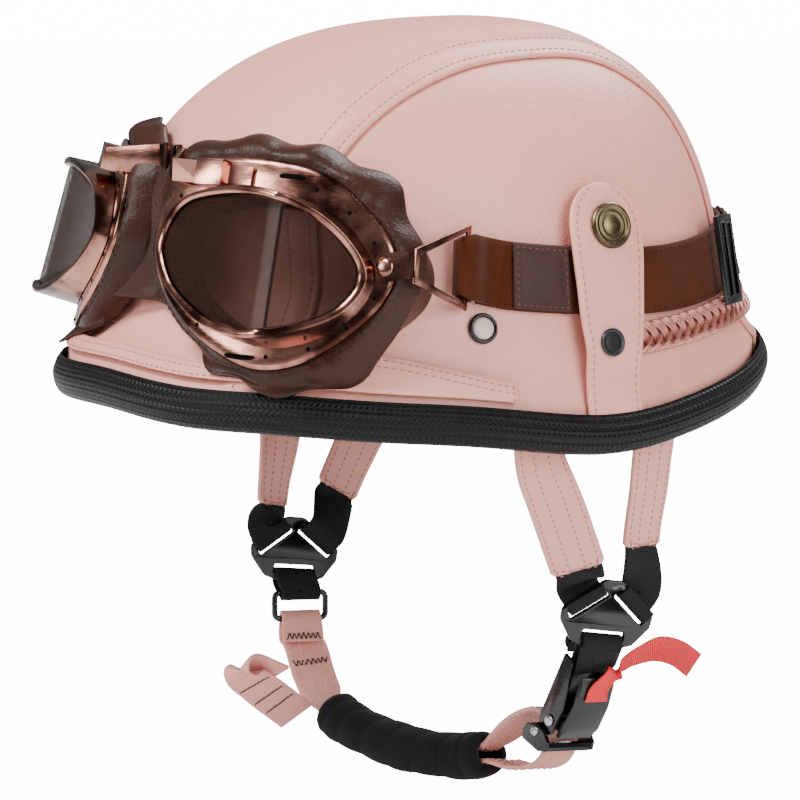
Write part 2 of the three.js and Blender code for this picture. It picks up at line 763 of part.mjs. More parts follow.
// Snap with raised rings over the band, and the small rivet below it
function tabFasteners(name, side) {
  const snap = sideAt(side, TAB_Y + 1.2, bandHeight(97) + 0.8 * BAND_WIDTH);
  const snapNormal = normalAt(snap);
  snap.addScaledVector(snapNormal, liftAt(side, snap.z) + TAB_WALL + STUD_SEAT);
  const r = SNAP_RADIUS;
  add(`snap_cap_${name}`, turned([
    [0, 0], [r * 0.92, 0], [r, 0.9], [r * 0.94, 1.9], [r * 0.78, 2.2], [r * 0.7, 1.5],
    [r * 0.3, 1.8], [0, 2.1],
  ], 16, snap, snapNormal), LOOKS.brass);
  const rivet = sideAt(side, TAB_Y - 2, BRAID_HEIGHT - 1);
  const rivetNormal = normalAt(rivet);
  rivet.addScaledVector(rivetNormal, liftAt(side, rivet.z) + TAB_WALL + STUD_SEAT);
  const q = RIVET_RADIUS;
  add(`tab_rivet_${name}`, turned([
    [0, 0], [q * 0.94, 0], [q, 0.8], [q * 0.8, 1.6], [q * 0.35, 1.9], [0, 2],
  ], 12, rivet, rivetNormal), LOOKS.gunmetal);
}

function sideStud(name, side) {
  const seat = sideAt(side, STUD_Y, STUD_Z);
  const normal = normalAt(seat);
  seat.addScaledVector(normal, STUD_SEAT);
  const r = STUD_RADIUS;
  add(`side_stud_${name}`, turned([
    [0, 0], [r, 0], [r * 1.02, 1.1], [r * 0.93, 1.9], [r * 0.8, 1.7],
    [r * 0.72, 1.3], [r * 0.5, 2], [0, 2.3],
  ], 14, seat, normal), LOOKS.stud);
}

// Slider and the doubled end of the elastic, at the back on the left
function bandSlider() {
  const turn = SLIDER_TURN;
  const seat = crownAt(turn, bandHeight(turn));
  const normal = normalAt(seat);
  seat.addScaledVector(normal, underBand(turn) + BRAID_THICKNESS + LAP_GAP + 0.9);
  const up = vec(0, 0, 1).addScaledVector(normal, -normal.z).normalize();
  const acrossBand = new THREE.Vector3().crossVectors(up, normal).normalize();
  const w = SLIDER_HALF;
  const h = BAND_WIDTH / 2 + 5;
  const frame = outline([[-w, -h], [w, -h], [w, h], [-w, h]]);
  const slot = h - 3;
  for (const [x, half] of [[-w + 2.2, slot], [1.1, slot - 0.6]]) {
    const width = w - 3.3;
    const hole = new THREE.Path([
      [x, -half], [x, half], [x + width, half], [x + width, -half],
    ].map(([a, c]) => new THREE.Vector2(a, c)));
    frame.holes.push(hole);
  }
  add("band_slider", extruded(frame, SLIDER_WALL, seat, acrossBand, up), LOOKS.gunmetal);
  const low = (at) => underBand(at) + BAND_THICKNESS + 0.8;
  const [from, to] = [6.5, 24].map((past) => SLIDER_TURN + past);
  const tail = bandSections(from, to, 5, bandHeight, BAND_WIDTH - 1, low, BAND_THICKNESS);
  add("band_tail", swept(tail), LOOKS.suede);
}

// Goggles: each unit has its own frame of across, up and out, mirrored about the goggles' middle
const OUT_FLAT = vec(Math.sin(rad(GOGGLE_YAW)), -Math.cos(rad(GOGGLE_YAW)), 0);
const ACROSS = vec(Math.cos(rad(GOGGLE_YAW)), Math.sin(rad(GOGGLE_YAW)), 0);
const OUT = OUT_FLAT.clone().multiplyScalar(Math.cos(rad(GOGGLE_PITCH))).setZ(Math.sin(rad(GOGGLE_PITCH)));
const UP = new THREE.Vector3().crossVectors(OUT, ACROSS);

// The flange bends back towards its ends, as a face's front does
const bendAt = (s) => -((s + 12) ** 2) / (2 * FRAME_BEND);

function eyeFrame(standoff) {
  const nose = vec(0, -standoff, GOGGLE_HEIGHT);
  return nose.addScaledVector(ACROSS, GOGGLE_SPREAD);
}

let standoff = FRONT_REACH;

function onGoggle(side, s, u, o) {
  const p = eyeFrame(standoff)
    .addScaledVector(ACROSS, s)
    .addScaledVector(UP, u)
    .addScaledVector(OUT, o + bendAt(s));
  return vec(GOGGLE_SHIFT + side * p.x, p.y, p.z);
}

// Closed smooth outline from a table of shares, as count points
function ringPoints(rows, width, height, count) {
  const curve = new THREE.CatmullRomCurve3(
    rows.map((row) => vec(row.across * width, row.up * height, 0)), true, "centripetal",
  );
  return steps(count).slice(0, -1).map((t) => curve.getPoint(t));
}

const FLANGE_LINE = ringPoints(FLANGE, FRAME_WIDTH, FRAME_HEIGHT, RING_STEPS);
const BEZEL_LINE = ringPoints(BEZEL, BEZEL_WIDTH, BEZEL_HEIGHT, RING_STEPS);

// Gap from a point to the crown along the goggle's own out direction
function gapBehind(side, s, u) {
  const p = onGoggle(side, s, u, 0);
  const f = level(p);
  const e = 0.4;
  const ahead = vec(side * OUT.x, OUT.y, OUT.z);
  const q = p.clone().addScaledVector(ahead, e);
  const slope = Math.max((level(q) - f) / e, 1e-4);
  let back = 0;
  let far = Math.max(f / slope, 0) + 40;
  if (f < 0) {
    return f / slope;
  }
  for (let i = 0; i < 28; i += 1) {
    const middle = (back + far) / 2;
    if (level(p.clone().addScaledVector(ahead, -middle)) > 0) {
      back = middle;
    } else {
      far = middle;
    }
  }
  return back;
}

// Where the cover's outer face lies behind a place of the flange, with the visor panel where that is below
function coverTop(side, q) {
  const back = gapBehind(side, q.x, q.y);
  const p = onGoggle(side, q.x, q.y, -back);
  const lap = LAP_GAP + LEATHER;
  const visor = (LEATHER + 2 * LAP_GAP) * smooth((rimHeight(turnOf(p)) + visorRise(turnOf(p)) + 7 - p.z) / 5);
  return lap + visor - back;
}

// Slide the goggles forward until the flange clears the crown all round
function seatGoggles() {
  for (let i = 0; i < 12; i += 1) {
    let least = Infinity;
    for (const side of [LEFT, RIGHT]) {
      for (const q of FLANGE_LINE) {
        least = Math.min(least, -coverTop(side, q));
      }
    }
    standoff += (FRAME_LIP + GOGGLE_SEAT - least) * 0.9;
  }
}

// Height of the lens over the flange: up from the nose to the ridge, then down to the temple
function lensRise(s) {
  const nose = -BEZEL_WIDTH / 2;
  const temple = BEZEL_WIDTH / 2;
  if (s < RIDGE_ACROSS) {
    const t = clamp01((s - nose) / (RIDGE_ACROSS - nose));
    return NOSE_RISE + (RIDGE_RISE - NOSE_RISE) * (1.12 * t - 0.12 * t * t);
  }
  const t = clamp01((s - RIDGE_ACROSS) / (temple - RIDGE_ACROSS));
  return RIDGE_RISE + (OUTER_RISE - RIDGE_RISE) * t;
}

function goggleFrame(name, side) {
  const inner = BEZEL_LINE.map((p) => p.clone().multiplyScalar(0.9));
  const sections = FLANGE_LINE.map((p, i) => {
    const q = inner[i];
    const rim = q.clone().lerp(p, 0.86);
    return [
      onGoggle(side, q.x, q.y, 0),
      onGoggle(side, p.x, p.y, -FRAME_LIP),
      onGoggle(side, p.x, p.y, FRAME_WALL - FRAME_LIP),
      onGoggle(side, rim.x, rim.y, FRAME_WALL),
      onGoggle(side, q.x, q.y, FRAME_WALL),
    ];
  });
  add(`goggle_frame_${name}`, swept(sections, true), LOOKS.copper);
}

function goggleBezel(name, side) {
  const sections = BEZEL_LINE.map((p) => {
    const size = p.length();
    const inner = p.clone().multiplyScalar(1 - BEZEL_WALL / size);
    const base = p.clone().multiplyScalar(1.02);
    const top = lensRise(p.x) + 1.5;
    const foot = FRAME_WALL + FIT;
    return [
      onGoggle(side, inner.x, inner.y, foot),
      onGoggle(side, base.x, base.y, foot),
      onGoggle(side, p.x, p.y, top),
      onGoggle(side, inner.x, inner.y, top - 0.4),
    ];
  });
  add(`goggle_bezel_${name}`, swept(sections, true), LOOKS.copper);
}

// Upper and lower edges of the lens opening at a place across
function lensEdge(s, upper) {
  let best = null;
  const inset = BEZEL_WALL + FIT + 0.2;
  const line = BEZEL_LINE.map((p) => p.clone().multiplyScalar(1 - inset / p.length()));
  for (let i = 0; i < line.length; i += 1) {
    const a = line[i];
    const b = line[(i + 1) % line.length];
    const t = (s - a.x) / (b.x - a.x);
    if (t >= 0 && t <= 1) {
      const u = a.y + (b.y - a.y) * t;
      if (best === null || (upper ? u > best : u < best)) {
        best = u;
      }
    }
  }
  return best;
}

function lensPane(name, side, from, to) {
  const places = steps(6).map((t) => from + (to - from) * (1 - Math.cos(Math.PI * t)) / 2);
  const grid = (drop) => places.map((s) => [0, 0.5, 1].map((t) => {
    const low = lensEdge(s, false);
    const high = lensEdge(s, true);
    return onGoggle(side, s, low + (high - low) * t, lensRise(s) - drop);
  }));
  add(name, plateBetween(grid(0.9), grid(0.9 + LENS_WALL)), LOOKS.lens);
}

function lenses(name, side) {
  const line = BEZEL_LINE.map((p) => p.clone().multiplyScalar(1 - (BEZEL_WALL + FIT + 0.2) / p.length()));
  const nose = Math.min(...line.map((p) => p.x)) + 0.4;
  const temple = Math.max(...line.map((p) => p.x)) - 0.4;
  lensPane(`lens_inner_${name}`, side, nose, RIDGE_ACROSS - 0.9);
  lensPane(`lens_outer_${name}`, side, RIDGE_ACROSS + 0.9, temple);
}

const maskFloor = (side, q) => coverTop(side, q) + MASK_GAP;

// Back edge of a mask section from outside to inside, raised until it clears the crown all the way
function maskBack(side, outer, inner, wantOuter, wantInner) {
  let raise = 0;
  for (const t of steps(5)) {
    const want = wantOuter + (wantInner - wantOuter) * t;
    raise = Math.max(raise, maskFloor(side, outer.clone().lerp(inner, t)) - want);
  }
  return [wantOuter + raise, wantInner + raise];
}

// Soft mask: a ring round each eye from the flange back to the crown, joined over the nose
function maskRing(side) {
  const sections = FLANGE_LINE.map((p, i) => {
    const angle = (THREE.MathUtils.radToDeg(Math.atan2(p.y, p.x)) + 360) % 360;
    const size = p.length();
    const margin = MASK_MARGIN * along(MASK_EDGE, "angle", "margin", angle);
    const inner = BEZEL_LINE[i].clone().multiplyScalar(0.86);
    const outer = p.clone().multiplyScalar((size + margin) / size);
    const brow = p.clone().multiplyScalar((size + 0.35 * margin) / size);
    const [outerBack, innerBack] = maskBack(side, outer, inner, -MASK_DEPTH, -MASK_DEPTH - 1);
    const under = -FRAME_LIP - FIT;
    const thin = 0.7;
    return [
      onGoggle(side, inner.x, inner.y, -FIT - 0.3),
      onGoggle(side, p.x, p.y, under),
      onGoggle(side, brow.x, brow.y, Math.max(-3, maskFloor(side, brow) + thin)),
      onGoggle(side, outer.x, outer.y, Math.max(outerBack + MASK_WALL, -9)),
      onGoggle(side, outer.x, outer.y, outerBack),
      onGoggle(side, p.x, p.y, Math.min(maskFloor(side, p), under - thin)),
      onGoggle(side, inner.x, inner.y, Math.min(innerBack, -FIT - 0.3 - thin)),
    ];
  });
  return swept(sections, true);
}

// Soft web between the two rings, low over the nose and behind the hinge
function maskWeb() {
  const rows = [
    { up: 0.2, wide: 0.44, lift: 0 },
    { up: 0.1, wide: 0.46, lift: 0.6 },
    { up: 0, wide: 0.46, lift: 1 },
    { up: -0.12, wide: 0.44, lift: 0.6 },
  ];
  const face = -FRAME_LIP - FIT - 0.1;
  return swept(rows.map((row) => {
    const q = vec(-row.wide * FRAME_WIDTH, row.up * FRAME_HEIGHT, 0);
    const middle = onGoggle(LEFT, q.x, q.y, 0);
    const front = reachFrom(vec(GOGGLE_SHIFT, 0, middle.z), vec(0, -1, 0));
    const lift = MASK_GAP + row.lift;
    const edge = (side, drop) => onGoggle(side, q.x, q.y, face - drop);
    const centre = (more) => vec(front.x, front.y - lift - more, front.z);
    return [
      edge(RIGHT, 0.5), centre(0), edge(LEFT, 0.5),
      edge(LEFT, 0), centre(MASK_WALL), edge(RIGHT, 0),
    ];
  }));
}

function goggleMask() {
  add("goggle_mask", joined([maskRing(LEFT), maskRing(RIGHT), maskWeb()]), LOOKS.mask);
}

// Hinge over the nose: a waisted link, and on each side a bent arm that ends in a keeper on the frame
function noseBridge() {
  const pinAcross = BRIDGE_HALF;
  const lift = BRIDGE_LIFT;
  const up = BRIDGE_UP * FRAME_HEIGHT;
  const keep = onGoggle(LEFT, -0.24 * FRAME_WIDTH, up, FRAME_WALL + lift);
  const front = reachFrom(vec(GOGGLE_SHIFT, 0, keep.z), vec(0, -1, 0));
  const linkY = Math.min(keep.y + BRIDGE_BACK, front.y - MASK_GAP - LEATHER - 3.4);
  const link = vec(GOGGLE_SHIFT, linkY, keep.z);
  const waist = outline([
    [-3.4, -6.4], [-1.4, -5.6], [-1.2, -2], [-1.2, 2], [-1.4, 5.6], [-3.4, 6.4],
    [3.4, 6.4], [1.4, 5.6], [1.2, 2], [1.2, -2], [1.4, -5.6], [3.4, -6.4],
  ].reverse());
  add("bridge_link", extruded(waist, 1.3, link, vec(1, 0, 0), vec(0, 0, 1)), LOOKS.copper);
  for (const [name, side] of SIDES) {
    const place = (x, y, z) => vec(GOGGLE_SHIFT + side * x, y, z);
    const arm = [
      place(pinAcross, link.y - 0.6, link.z),
      place(pinAcross + 4, link.y - 1, link.z),
      onGoggle(side, -0.4 * FRAME_WIDTH, up - 1, FRAME_WALL + lift + 2.7),
      onGoggle(side, -0.3 * FRAME_WIDTH, up - 1, FRAME_WALL + lift + 0.5),
      onGoggle(side, -0.2 * FRAME_WIDTH, up - 1, FRAME_WALL + lift),
    ].map((p, i) => ({ p, across: vec(0, 0, 1), width: i < 2 ? 12 : 8.5 }));
    const pin = turned([[0, -6.8], [1.2, -6.8], [1.2, 6.8], [0, 6.8]], 8,
      place(pinAcross, link.y - 0.6, link.z), vec(0, 0, 1));
    const box = (from, to, half, low, high) => swept([from, to].map((s) => (
      [[half, low], [half, high], [-half, high], [-half, low]].map(([u, o]) => (
        onGoggle(side, s * FRAME_WIDTH, up - 1 + u, o)
      ))
    )));
    const foot = FRAME_WALL + FIT;
    const keeper = box(-0.3, -0.18, 4.9, foot, foot + lift + 2.4);
    const plate = box(-0.19, -0.08, 3.4, foot, foot + 1.4);
    add(`bridge_arm_${name}`, joined([strap(arm, 1.6), pin, keeper, plate]), LOOKS.copper);
  }
}

// Temple lug on the frame's front and the link plate that joins it to the elastic band
function templeLink(name, side) {
  const reach = FRAME_WIDTH / 2;
  const lift = FRAME_WALL + FIT + LUG_WALL / 2;
  const up = vec(side * UP.x, UP.y, UP.z);
  const lug = [
    { p: onGoggle(side, reach - 4.2, LUG_UP - 1.5, lift), across: up, width: 10 },
    { p: onGoggle(side, reach - 0.5, LUG_UP - 0.5, lift), across: up, width: 11 },
    { p: onGoggle(side, reach + 6.5, LUG_UP + 1, lift + 0.2), across: up, width: 9.5 },
  ];
  const rivet = onGoggle(side, reach - 1.8, LUG_UP - 0.8, lift);
  const out = vec(side * OUT.x, OUT.y, OUT.z);
  const head = turned([[0, 0], [2.1, 0], [2.1, 1.1], [1.2, 1.9], [0, 2]], 10, rivet, out);
  add(`frame_lug_${name}`, joined([strap(lug, LUG_WALL), head]), LOOKS.copper);
  const wide = crownAt(side * LINK_TURN, bandHeight(LINK_TURN), barLift());
  const narrow = onGoggle(side, reach + 8, LUG_UP + 1.2, lift - LINK_BAR / 2 - 0.4);
  const x = wide.clone().sub(narrow).normalize();
  const y = up.clone().addScaledVector(x, -up.dot(x)).normalize();
  if (side === RIGHT) {
    y.negate();
  }
  const length = wide.distanceTo(narrow);
  const tall = BAND_WIDTH / 2 + 3.6;
  const low = 6.5;
  const plate = outline([
    [-LINK_BAR / 2, -low], [length + LINK_BAR / 2, -tall],
    [length + LINK_BAR / 2, tall], [-LINK_BAR / 2, low],
  ]);
  const a = LINK_BAR / 2;
  const b = length - LINK_BAR / 2;
  plate.holes.push(new THREE.Path([
    [a, -low + 2.6], [a, low - 2.6], [b, tall - 3], [b, -tall + 3],
  ].map(([c, d]) => new THREE.Vector2(c, d))));
  const z = new THREE.Vector3().crossVectors(x, y).normalize();
  const corner = narrow.clone().addScaledVector(z, -LINK_WALL / 2);
  add(`strap_link_${name}`, extruded(plate, LINK_WALL, corner, x, y), LOOKS.copper);
}

const loopLow = () => underBand(LINK_TURN) + BAND_THICKNESS / 2;
const loopHigh = () => loopLow() + BAND_THICKNESS + FIT + LOOP_BULGE;
const barLift = () => (loopLow() + loopHigh()) / 2;

// The band's own end, turned round the link's bar and laid back over the band
function bandLoop(name, side) {
  const per = THREE.MathUtils.radToDeg(1 / HALF_WIDTH);
  const nose = LINK_TURN - (LINK_BAR / 2 + FIT + BAND_THICKNESS / 2 + 0.4) * per;
  const flat = loopLow() + BAND_THICKNESS + FIT;
  const path = [
    [BAND_START - 1.2 * per, loopLow()],
    [LINK_TURN, loopLow()],
    [nose, loopLow() + 1.1],
    [nose, loopHigh() - 1.1],
    [LINK_TURN + 0.4, loopHigh()],
    [BAND_START + 1.6, flat + 0.4],
    [BAND_START + 4.5, flat],
  ];
  const stations = path.map(([turn, lift]) => {
    const at = side * turn;
    const p = crownAt(at, bandHeight(turn), lift);
    const above = crownAt(at, bandHeight(turn) + 5, lift);
    const width = BAND_WIDTH - (turn < LINK_TURN ? 4.8 : 0.6);
    return { p, across: above.sub(p), width };
  });
  add(`band_loop_${name}`, strap(stations, BAND_THICKNESS), LOOKS.suede);
}

// Harness
// Where each slotted plate hangs and how it is turned, in shares of HARNESS_OUT and YOKE_DROP
const YOKES = {
  left: { side: LEFT, fore: 0.435, drop: 0.99, turnIn: 0.26, tilt: -0.13, lean: 0.12 },
  right: { side: RIGHT, fore: 0.065, drop: 1.01, turnIn: 0.3, tilt: -0.08, lean: -0.1 },
};

// Pink straps from the shell to the plates. Fore is the place along the rim in shares of HARNESS_OUT;
// end is the lower end's place in shares of HARNESS_OUT and YOKE_DROP; turn is its width direction
const STRAPS = [
  { name: "front_left", fore: -0.06, out: 1.05, endFore: 0.235, drop: 0.72, turn: [0.5, 0.83] },
  { name: "rear_left", fore: 0.65, out: 1.045, endFore: 0.575, drop: 0.63, turn: [-0.25, 0.95] },
  { name: "front_right", fore: 0.03, out: 1.04, endFore: -0.04, drop: 0.75, turn: [0.42, 0.85] },
  { name: "rear_right", fore: 0.67, out: 1.04, endFore: 0.32, drop: 0.7, turn: [0.05, 0.95] },
];

// The chin strap from the ring to the clamp: shares of HARNESS_OUT and CHIN_DROP
const CHIN_RIGHT = [
  { out: -0.878, fore: 0.061, drop: 0.781 },
  { out: -0.756, fore: 0.05, drop: 0.869 },
  { out: -0.64, fore: 0.053, drop: 0.931 },
];
const SLEEVE_LINE = [
  { out: -0.611, fore: 0.052, drop: 0.941 },
  { out: -0.478, fore: 0.097, drop: 0.97 },
  { out: -0.267, fore: 0.15, drop: 0.993 },
  { out: -0.056, fore: 0.217, drop: 0.998 },
  { out: 0.167, fore: 0.282, drop: 0.985 },
  { out: 0.311, fore: 0.321, drop: 0.963 },
];
const CHIN_LEFT = [
  { out: 0.4, fore: 0.345, drop: 0.977 },
  { out: 0.5, fore: 0.4, drop: 0.98 },
  { out: 0.611, fore: 0.446, drop: 0.953 },
  { out: 0.662, fore: 0.453, drop: 0.903 },
  { out: 0.65, fore: 0.46, drop: 0.853 },
  { out: 0.6, fore: 0.46, drop: 0.815 },
  { out: 0.522, fore: 0.435, drop: 0.823 },
  { out: 0.422, fore: 0.385, drop: 0.873 },
  { out: 0.34, fore: 0.335, drop: 0.925 },
];
const TAIL_LINE = [
  { out: -0.7, fore: -0.09, drop: 0.955 },
  { out: -0.62, fore: -0.28, drop: 0.88 },
  { out: -0.511, fore: -0.495, drop: 0.795 },
  { out: -0.5, fore: -0.515, drop: 0.775 },
  { out: -0.512, fore: -0.48, drop: 0.768 },
  { out: -0.55, fore: -0.31, drop: 0.81 },
];

// Free part of the pull ribbon, with its width direction and its width in shares of RIBBON_WIDTH
const RIBBON_LINE = [
  { out: 0.935, fore: 0.54, drop: 0.677, turn: [0.3, 0.9, 0.5], wide: 0.7 },
  { out: 0.935, fore: 0.6, drop: 0.652, turn: [0.3, -0.5, 0.9], wide: 0.6 },
  { out: 0.945, fore: 0.67, drop: 0.634, turn: [0.3, -0.3, 0.95], wide: 0.8 },
  { out: 0.955, fore: 0.76, drop: 0.622, turn: [0.2, -0.1, 0.97], wide: 1 },
  { out: 0.965, fore: 0.86, drop: 0.638, turn: [0.1, 0.2, 0.97], wide: 1 },
  { out: 0.975, fore: 0.95, drop: 0.675, turn: [0.1, 0.35, 0.93], wide: 1 },
];

const hung = (row) => vec(row.out * HARNESS_OUT, row.fore * HARNESS_OUT, -row.drop * CHIN_DROP);

// Width, up and outward directions of a plate that hangs in the harness
function yokeAxes(name) {
  const yoke = YOKES[name];
  const width = vec(yoke.turnIn, 1, yoke.tilt).normalize();
  const up = vec(yoke.lean, 0, 1).addScaledVector(width, -width.z).normalize();
  const out = new THREE.Vector3().crossVectors(width, up).normalize();
  const centre = vec(yoke.side * HARNESS_OUT, yoke.fore * HARNESS_OUT, -yoke.drop * YOKE_DROP);
  return { side: yoke.side, width, up, out, centre };
}

// The plate's three slots: centre across and up, and the slot's direction away from the middle
function yokeSlots() {
  const steep = rad(38);
  return {
    front: { at: [-0.235 * YOKE_WIDTH, 0.15 * YOKE_HEIGHT], away: [-Math.sin(steep), Math.cos(steep)] },
    rear: { at: [0.235 * YOKE_WIDTH, 0.15 * YOKE_HEIGHT], away: [Math.sin(steep), Math.cos(steep)] },
    low: { at: [0, -0.3 * YOKE_HEIGHT], away: [0, -1] },
  };
}

function onYoke(axes, [a, b], lift = 0) {
  return axes.centre.clone().addScaledVector(axes.width, a)
    .addScaledVector(axes.up, b).addScaledVector(axes.out, lift);
}

function yokePlate(name) {
  const axes = yokeAxes(name);
  const w = YOKE_WIDTH / 2;
  const h = YOKE_HEIGHT / 2;
  const foot = -0.3 * YOKE_HEIGHT - SLOT_GAP - EDGE_BAR;
  const plate = outline([
    [-0.45 * w, foot], [0.45 * w, foot], [0.68 * w, -0.85 * h], [w, -0.25 * h], [w * 1.02, 0.08 * h],
    [0.2 * w, 1.06 * h], [-0.2 * w, 1.06 * h], [-1.02 * w, 0.08 * h], [-w, -0.25 * h],
    [-0.68 * w, -0.85 * h],
  ]);
  for (const slot of Object.values(yokeSlots())) {
    const [cx, cy] = slot.at;
    const [nx, ny] = slot.away;
    const corners = [[-1, -1], [-1, 1], [1, 1], [1, -1]].map(([i, j]) => new THREE.Vector2(
      cx + i * SLOT_HALF * ny + j * SLOT_GAP * nx,
      cy - i * SLOT_HALF * nx + j * SLOT_GAP * ny,
    ));
    plate.holes.push(new THREE.Path(corners));
  }
  const corner = axes.centre.clone().addScaledVector(axes.out, -YOKE_WALL / 2);
  add(`harness_yoke_${name}`, extruded(plate, YOKE_WALL, corner, axes.width, axes.up), LOOKS.plastic);
}

// Straps that come down from inside the shell
function harnessStrap(row) {
  const [place, name] = row.name.split("_");
  const side = YOKES[name].side;
  const wallFace = LEATHER + SHELL_GAP + SHELL_WALL;
  const y = row.fore * HARNESS_OUT;
  const top = sideAt(side, y, RIM_RISE, -wallFace - FIT - STRAP_WALL / 2 - 1.2);
  const turn = turnOf(sideAt(side, y, 0));
  const rim = rimHeight(turn);
  const flat = vec(Math.sin(rad(turn)), -Math.cos(rad(turn)), 0);
  const wallIn = wallFace + TRIM_CLEAR + TRIM_WALL + FIT + STRAP_WALL / 2 + 1.6;
  const past = crownAt(turn, rim - EDGE_DEPTH / 2).addScaledVector(flat, -wallIn);
  const trimTop = past.clone().setZ(rim - 1);
  const trimFoot = past.clone().setZ(rim - TRIM_HEIGHT - 3);
  const end = vec(side * row.out * HARNESS_OUT, row.endFore * HARNESS_OUT, -row.drop * YOKE_DROP);
  const sag = trimFoot.clone().lerp(end, 0.5);
  const points = [top, trimTop, trimFoot, sag, end];
  const wall = normalAt(top);
  const first = vec(-wall.y, wall.x, 0).multiplyScalar(side).normalize();
  const last = vec(side * row.turn[0], row.turn[1], 0).normalize();
  const stations = route(points, [first, last], STRAP_WIDTH, 9);
  add(`strap_${row.name}`, strap(stations, STRAP_WALL), LOOKS.leather);
  return { place, name, end, before: stations[stations.length - 3].p, across: last };
}

// Webbing from under a strap's end, through its slot and back over itself
function harnessWebbing(from) {
  const axes = yokeAxes(from.name);
  const slot = yokeSlots()[from.place];
  const side = axes.side;
  const inward = -side;
  const h = YOKE_WALL / 2 + FIT + WEBBING_WALL / 2;
  const s = axes.out.x * side > 0 ? 1 : -1;
  const at = (n, lift) => onYoke(axes, slot.at.map((c, i) => c + slot.away[i] * n), s * lift);
  const lane = axes.width.clone().multiplyScalar(slot.away[1]).addScaledVector(axes.up, -slot.away[0]);
  const under = vec(inward, 0, 0).addScaledVector(from.across, -inward * from.across.x).normalize()
    .multiplyScalar(STRAP_WALL / 2 + FIT + WEBBING_WALL / 2 + 0.9);
  const first = from.before.clone().lerp(from.end, 0.5).add(under);
  const second = from.end.clone().add(under);
  const third = second.clone().add(from.end.clone().sub(from.before).setLength(3));
  const edge = SLOT_GAP + EDGE_BAR;
  const narrow = 2 * SLOT_HALF - 1;
  if (from.across.dot(lane) < 0) {
    lane.negate();
  }
  const stations = [
    { p: first, across: from.across, width: WEBBING_WIDTH },
    { p: second, across: from.across, width: WEBBING_WIDTH },
    { p: third, across: from.across, width: WEBBING_WIDTH },
    { p: at(edge + 2.5, -h - 1.4), across: lane, width: narrow + 0.8 },
    { p: at(SLOT_GAP + 0.1, -h - 0.25), across: lane, width: narrow },
    { p: at(0.2, -1.1), across: lane, width: narrow },
    { p: at(0.2, 1.1), across: lane, width: narrow },
    { p: at(SLOT_GAP + 0.1, h + 0.25), across: lane, width: narrow },
    { p: at(edge + 0.2, h), across: lane, width: narrow },
  ];
  add(`webbing_${from.place}_${from.name}`, strap(stations, WEBBING_WALL), LOOKS.webbing);
}

// Closed loop of webbing round two bars, each with its own centre, radius and direction
function loopRound(first, second, width) {
  const path = [];
  const half = (bar, from) => {
    const way = second.centre.clone().sub(first.centre);
    way.addScaledVector(bar.across, -way.dot(bar.across)).normalize();
    const face = new THREE.Vector3().crossVectors(way, bar.across).normalize();
    for (const t of steps(5)) {
      const angle = from + Math.PI * t;
      const out = face.clone().multiplyScalar(Math.cos(angle)).addScaledVector(way, Math.sin(angle));
      path.push({ p: bar.centre.clone().addScaledVector(out, bar.radius), out, across: bar.across });
    }
  };
  half(second, 0);
  half(first, Math.PI);
  const sections = path.map(({ p, out, across }) => [[-1, -1], [1, -1], [1, 1], [-1, 1]].map(([i, j]) => (
    p.clone().addScaledVector(across, (i * width) / 2).addScaledVector(out, (j * WEBBING_WALL) / 2)
  )));
  return swept(sections, true);
}

const yokeBar = (axes) => ({
  centre: onYoke(axes, [0, -0.3 * YOKE_HEIGHT - SLOT_GAP - EDGE_BAR / 2]),
  radius: Math.hypot(EDGE_BAR, YOKE_WALL) / 2 + FIT + WEBBING_WALL / 2,
  across: axes.width,
});

// Ring under the right plate
function ringAxes() {
  const axes = yokeAxes("right");
  const width = vec(0.3, 0.95, 0).normalize();
  const up = vec(-0.12, 0, 1).addScaledVector(width, 0.12 * width.x).normalize();
  const centre = vec(-0.945 * HARNESS_OUT, 0.07 * HARNESS_OUT, -RING_DROP);
  const out = new THREE.Vector3().crossVectors(width, up);
  return { axes, width, up, out, centre };
}

function harnessRing() {
  const ring = ringAxes();
  const w = (RING_WIDTH - RING_WIRE) / 2;
  const h = (RING_HEIGHT - RING_WIRE) / 2;
  const r = RING_CORNER;
  const corners = [[1, 1], [-1, 1], [-1, -1], [1, -1]];
  const sections = corners.flatMap(([i, j], k) => [0, 0.5, 1].map((t) => {
    const angle = (Math.PI / 2) * (k + t);
    const centre = ring.centre.clone().addScaledVector(ring.width, i * (w - r))
      .addScaledVector(ring.up, j * (h - r));
    const away = ring.width.clone().multiplyScalar(Math.cos(angle))
      .addScaledVector(ring.up, Math.sin(angle));
    const p = centre.addScaledVector(away, r);
    return steps(6).slice(0, -1).map((s) => p.clone()
      .addScaledVector(away, (RING_WIRE / 2) * Math.cos(2 * Math.PI * s))
      .addScaledVector(ring.out, (RING_WIRE / 2) * Math.sin(2 * Math.PI * s)));
  }));
  add("harness_ring", swept(sections, true), LOOKS.gunmetal);
  const top = ring.centre.clone().addScaledVector(ring.up, h);
  const wire = { centre: top, radius: RING_WIRE / 2 + FIT + WEBBING_WALL / 2 + 0.3, across: ring.width };
  const loop = loopRound(yokeBar(ring.axes), wire, WEBBING_WIDTH - 2);
  add("webbing_loop_right", loop, LOOKS.webbing);
}

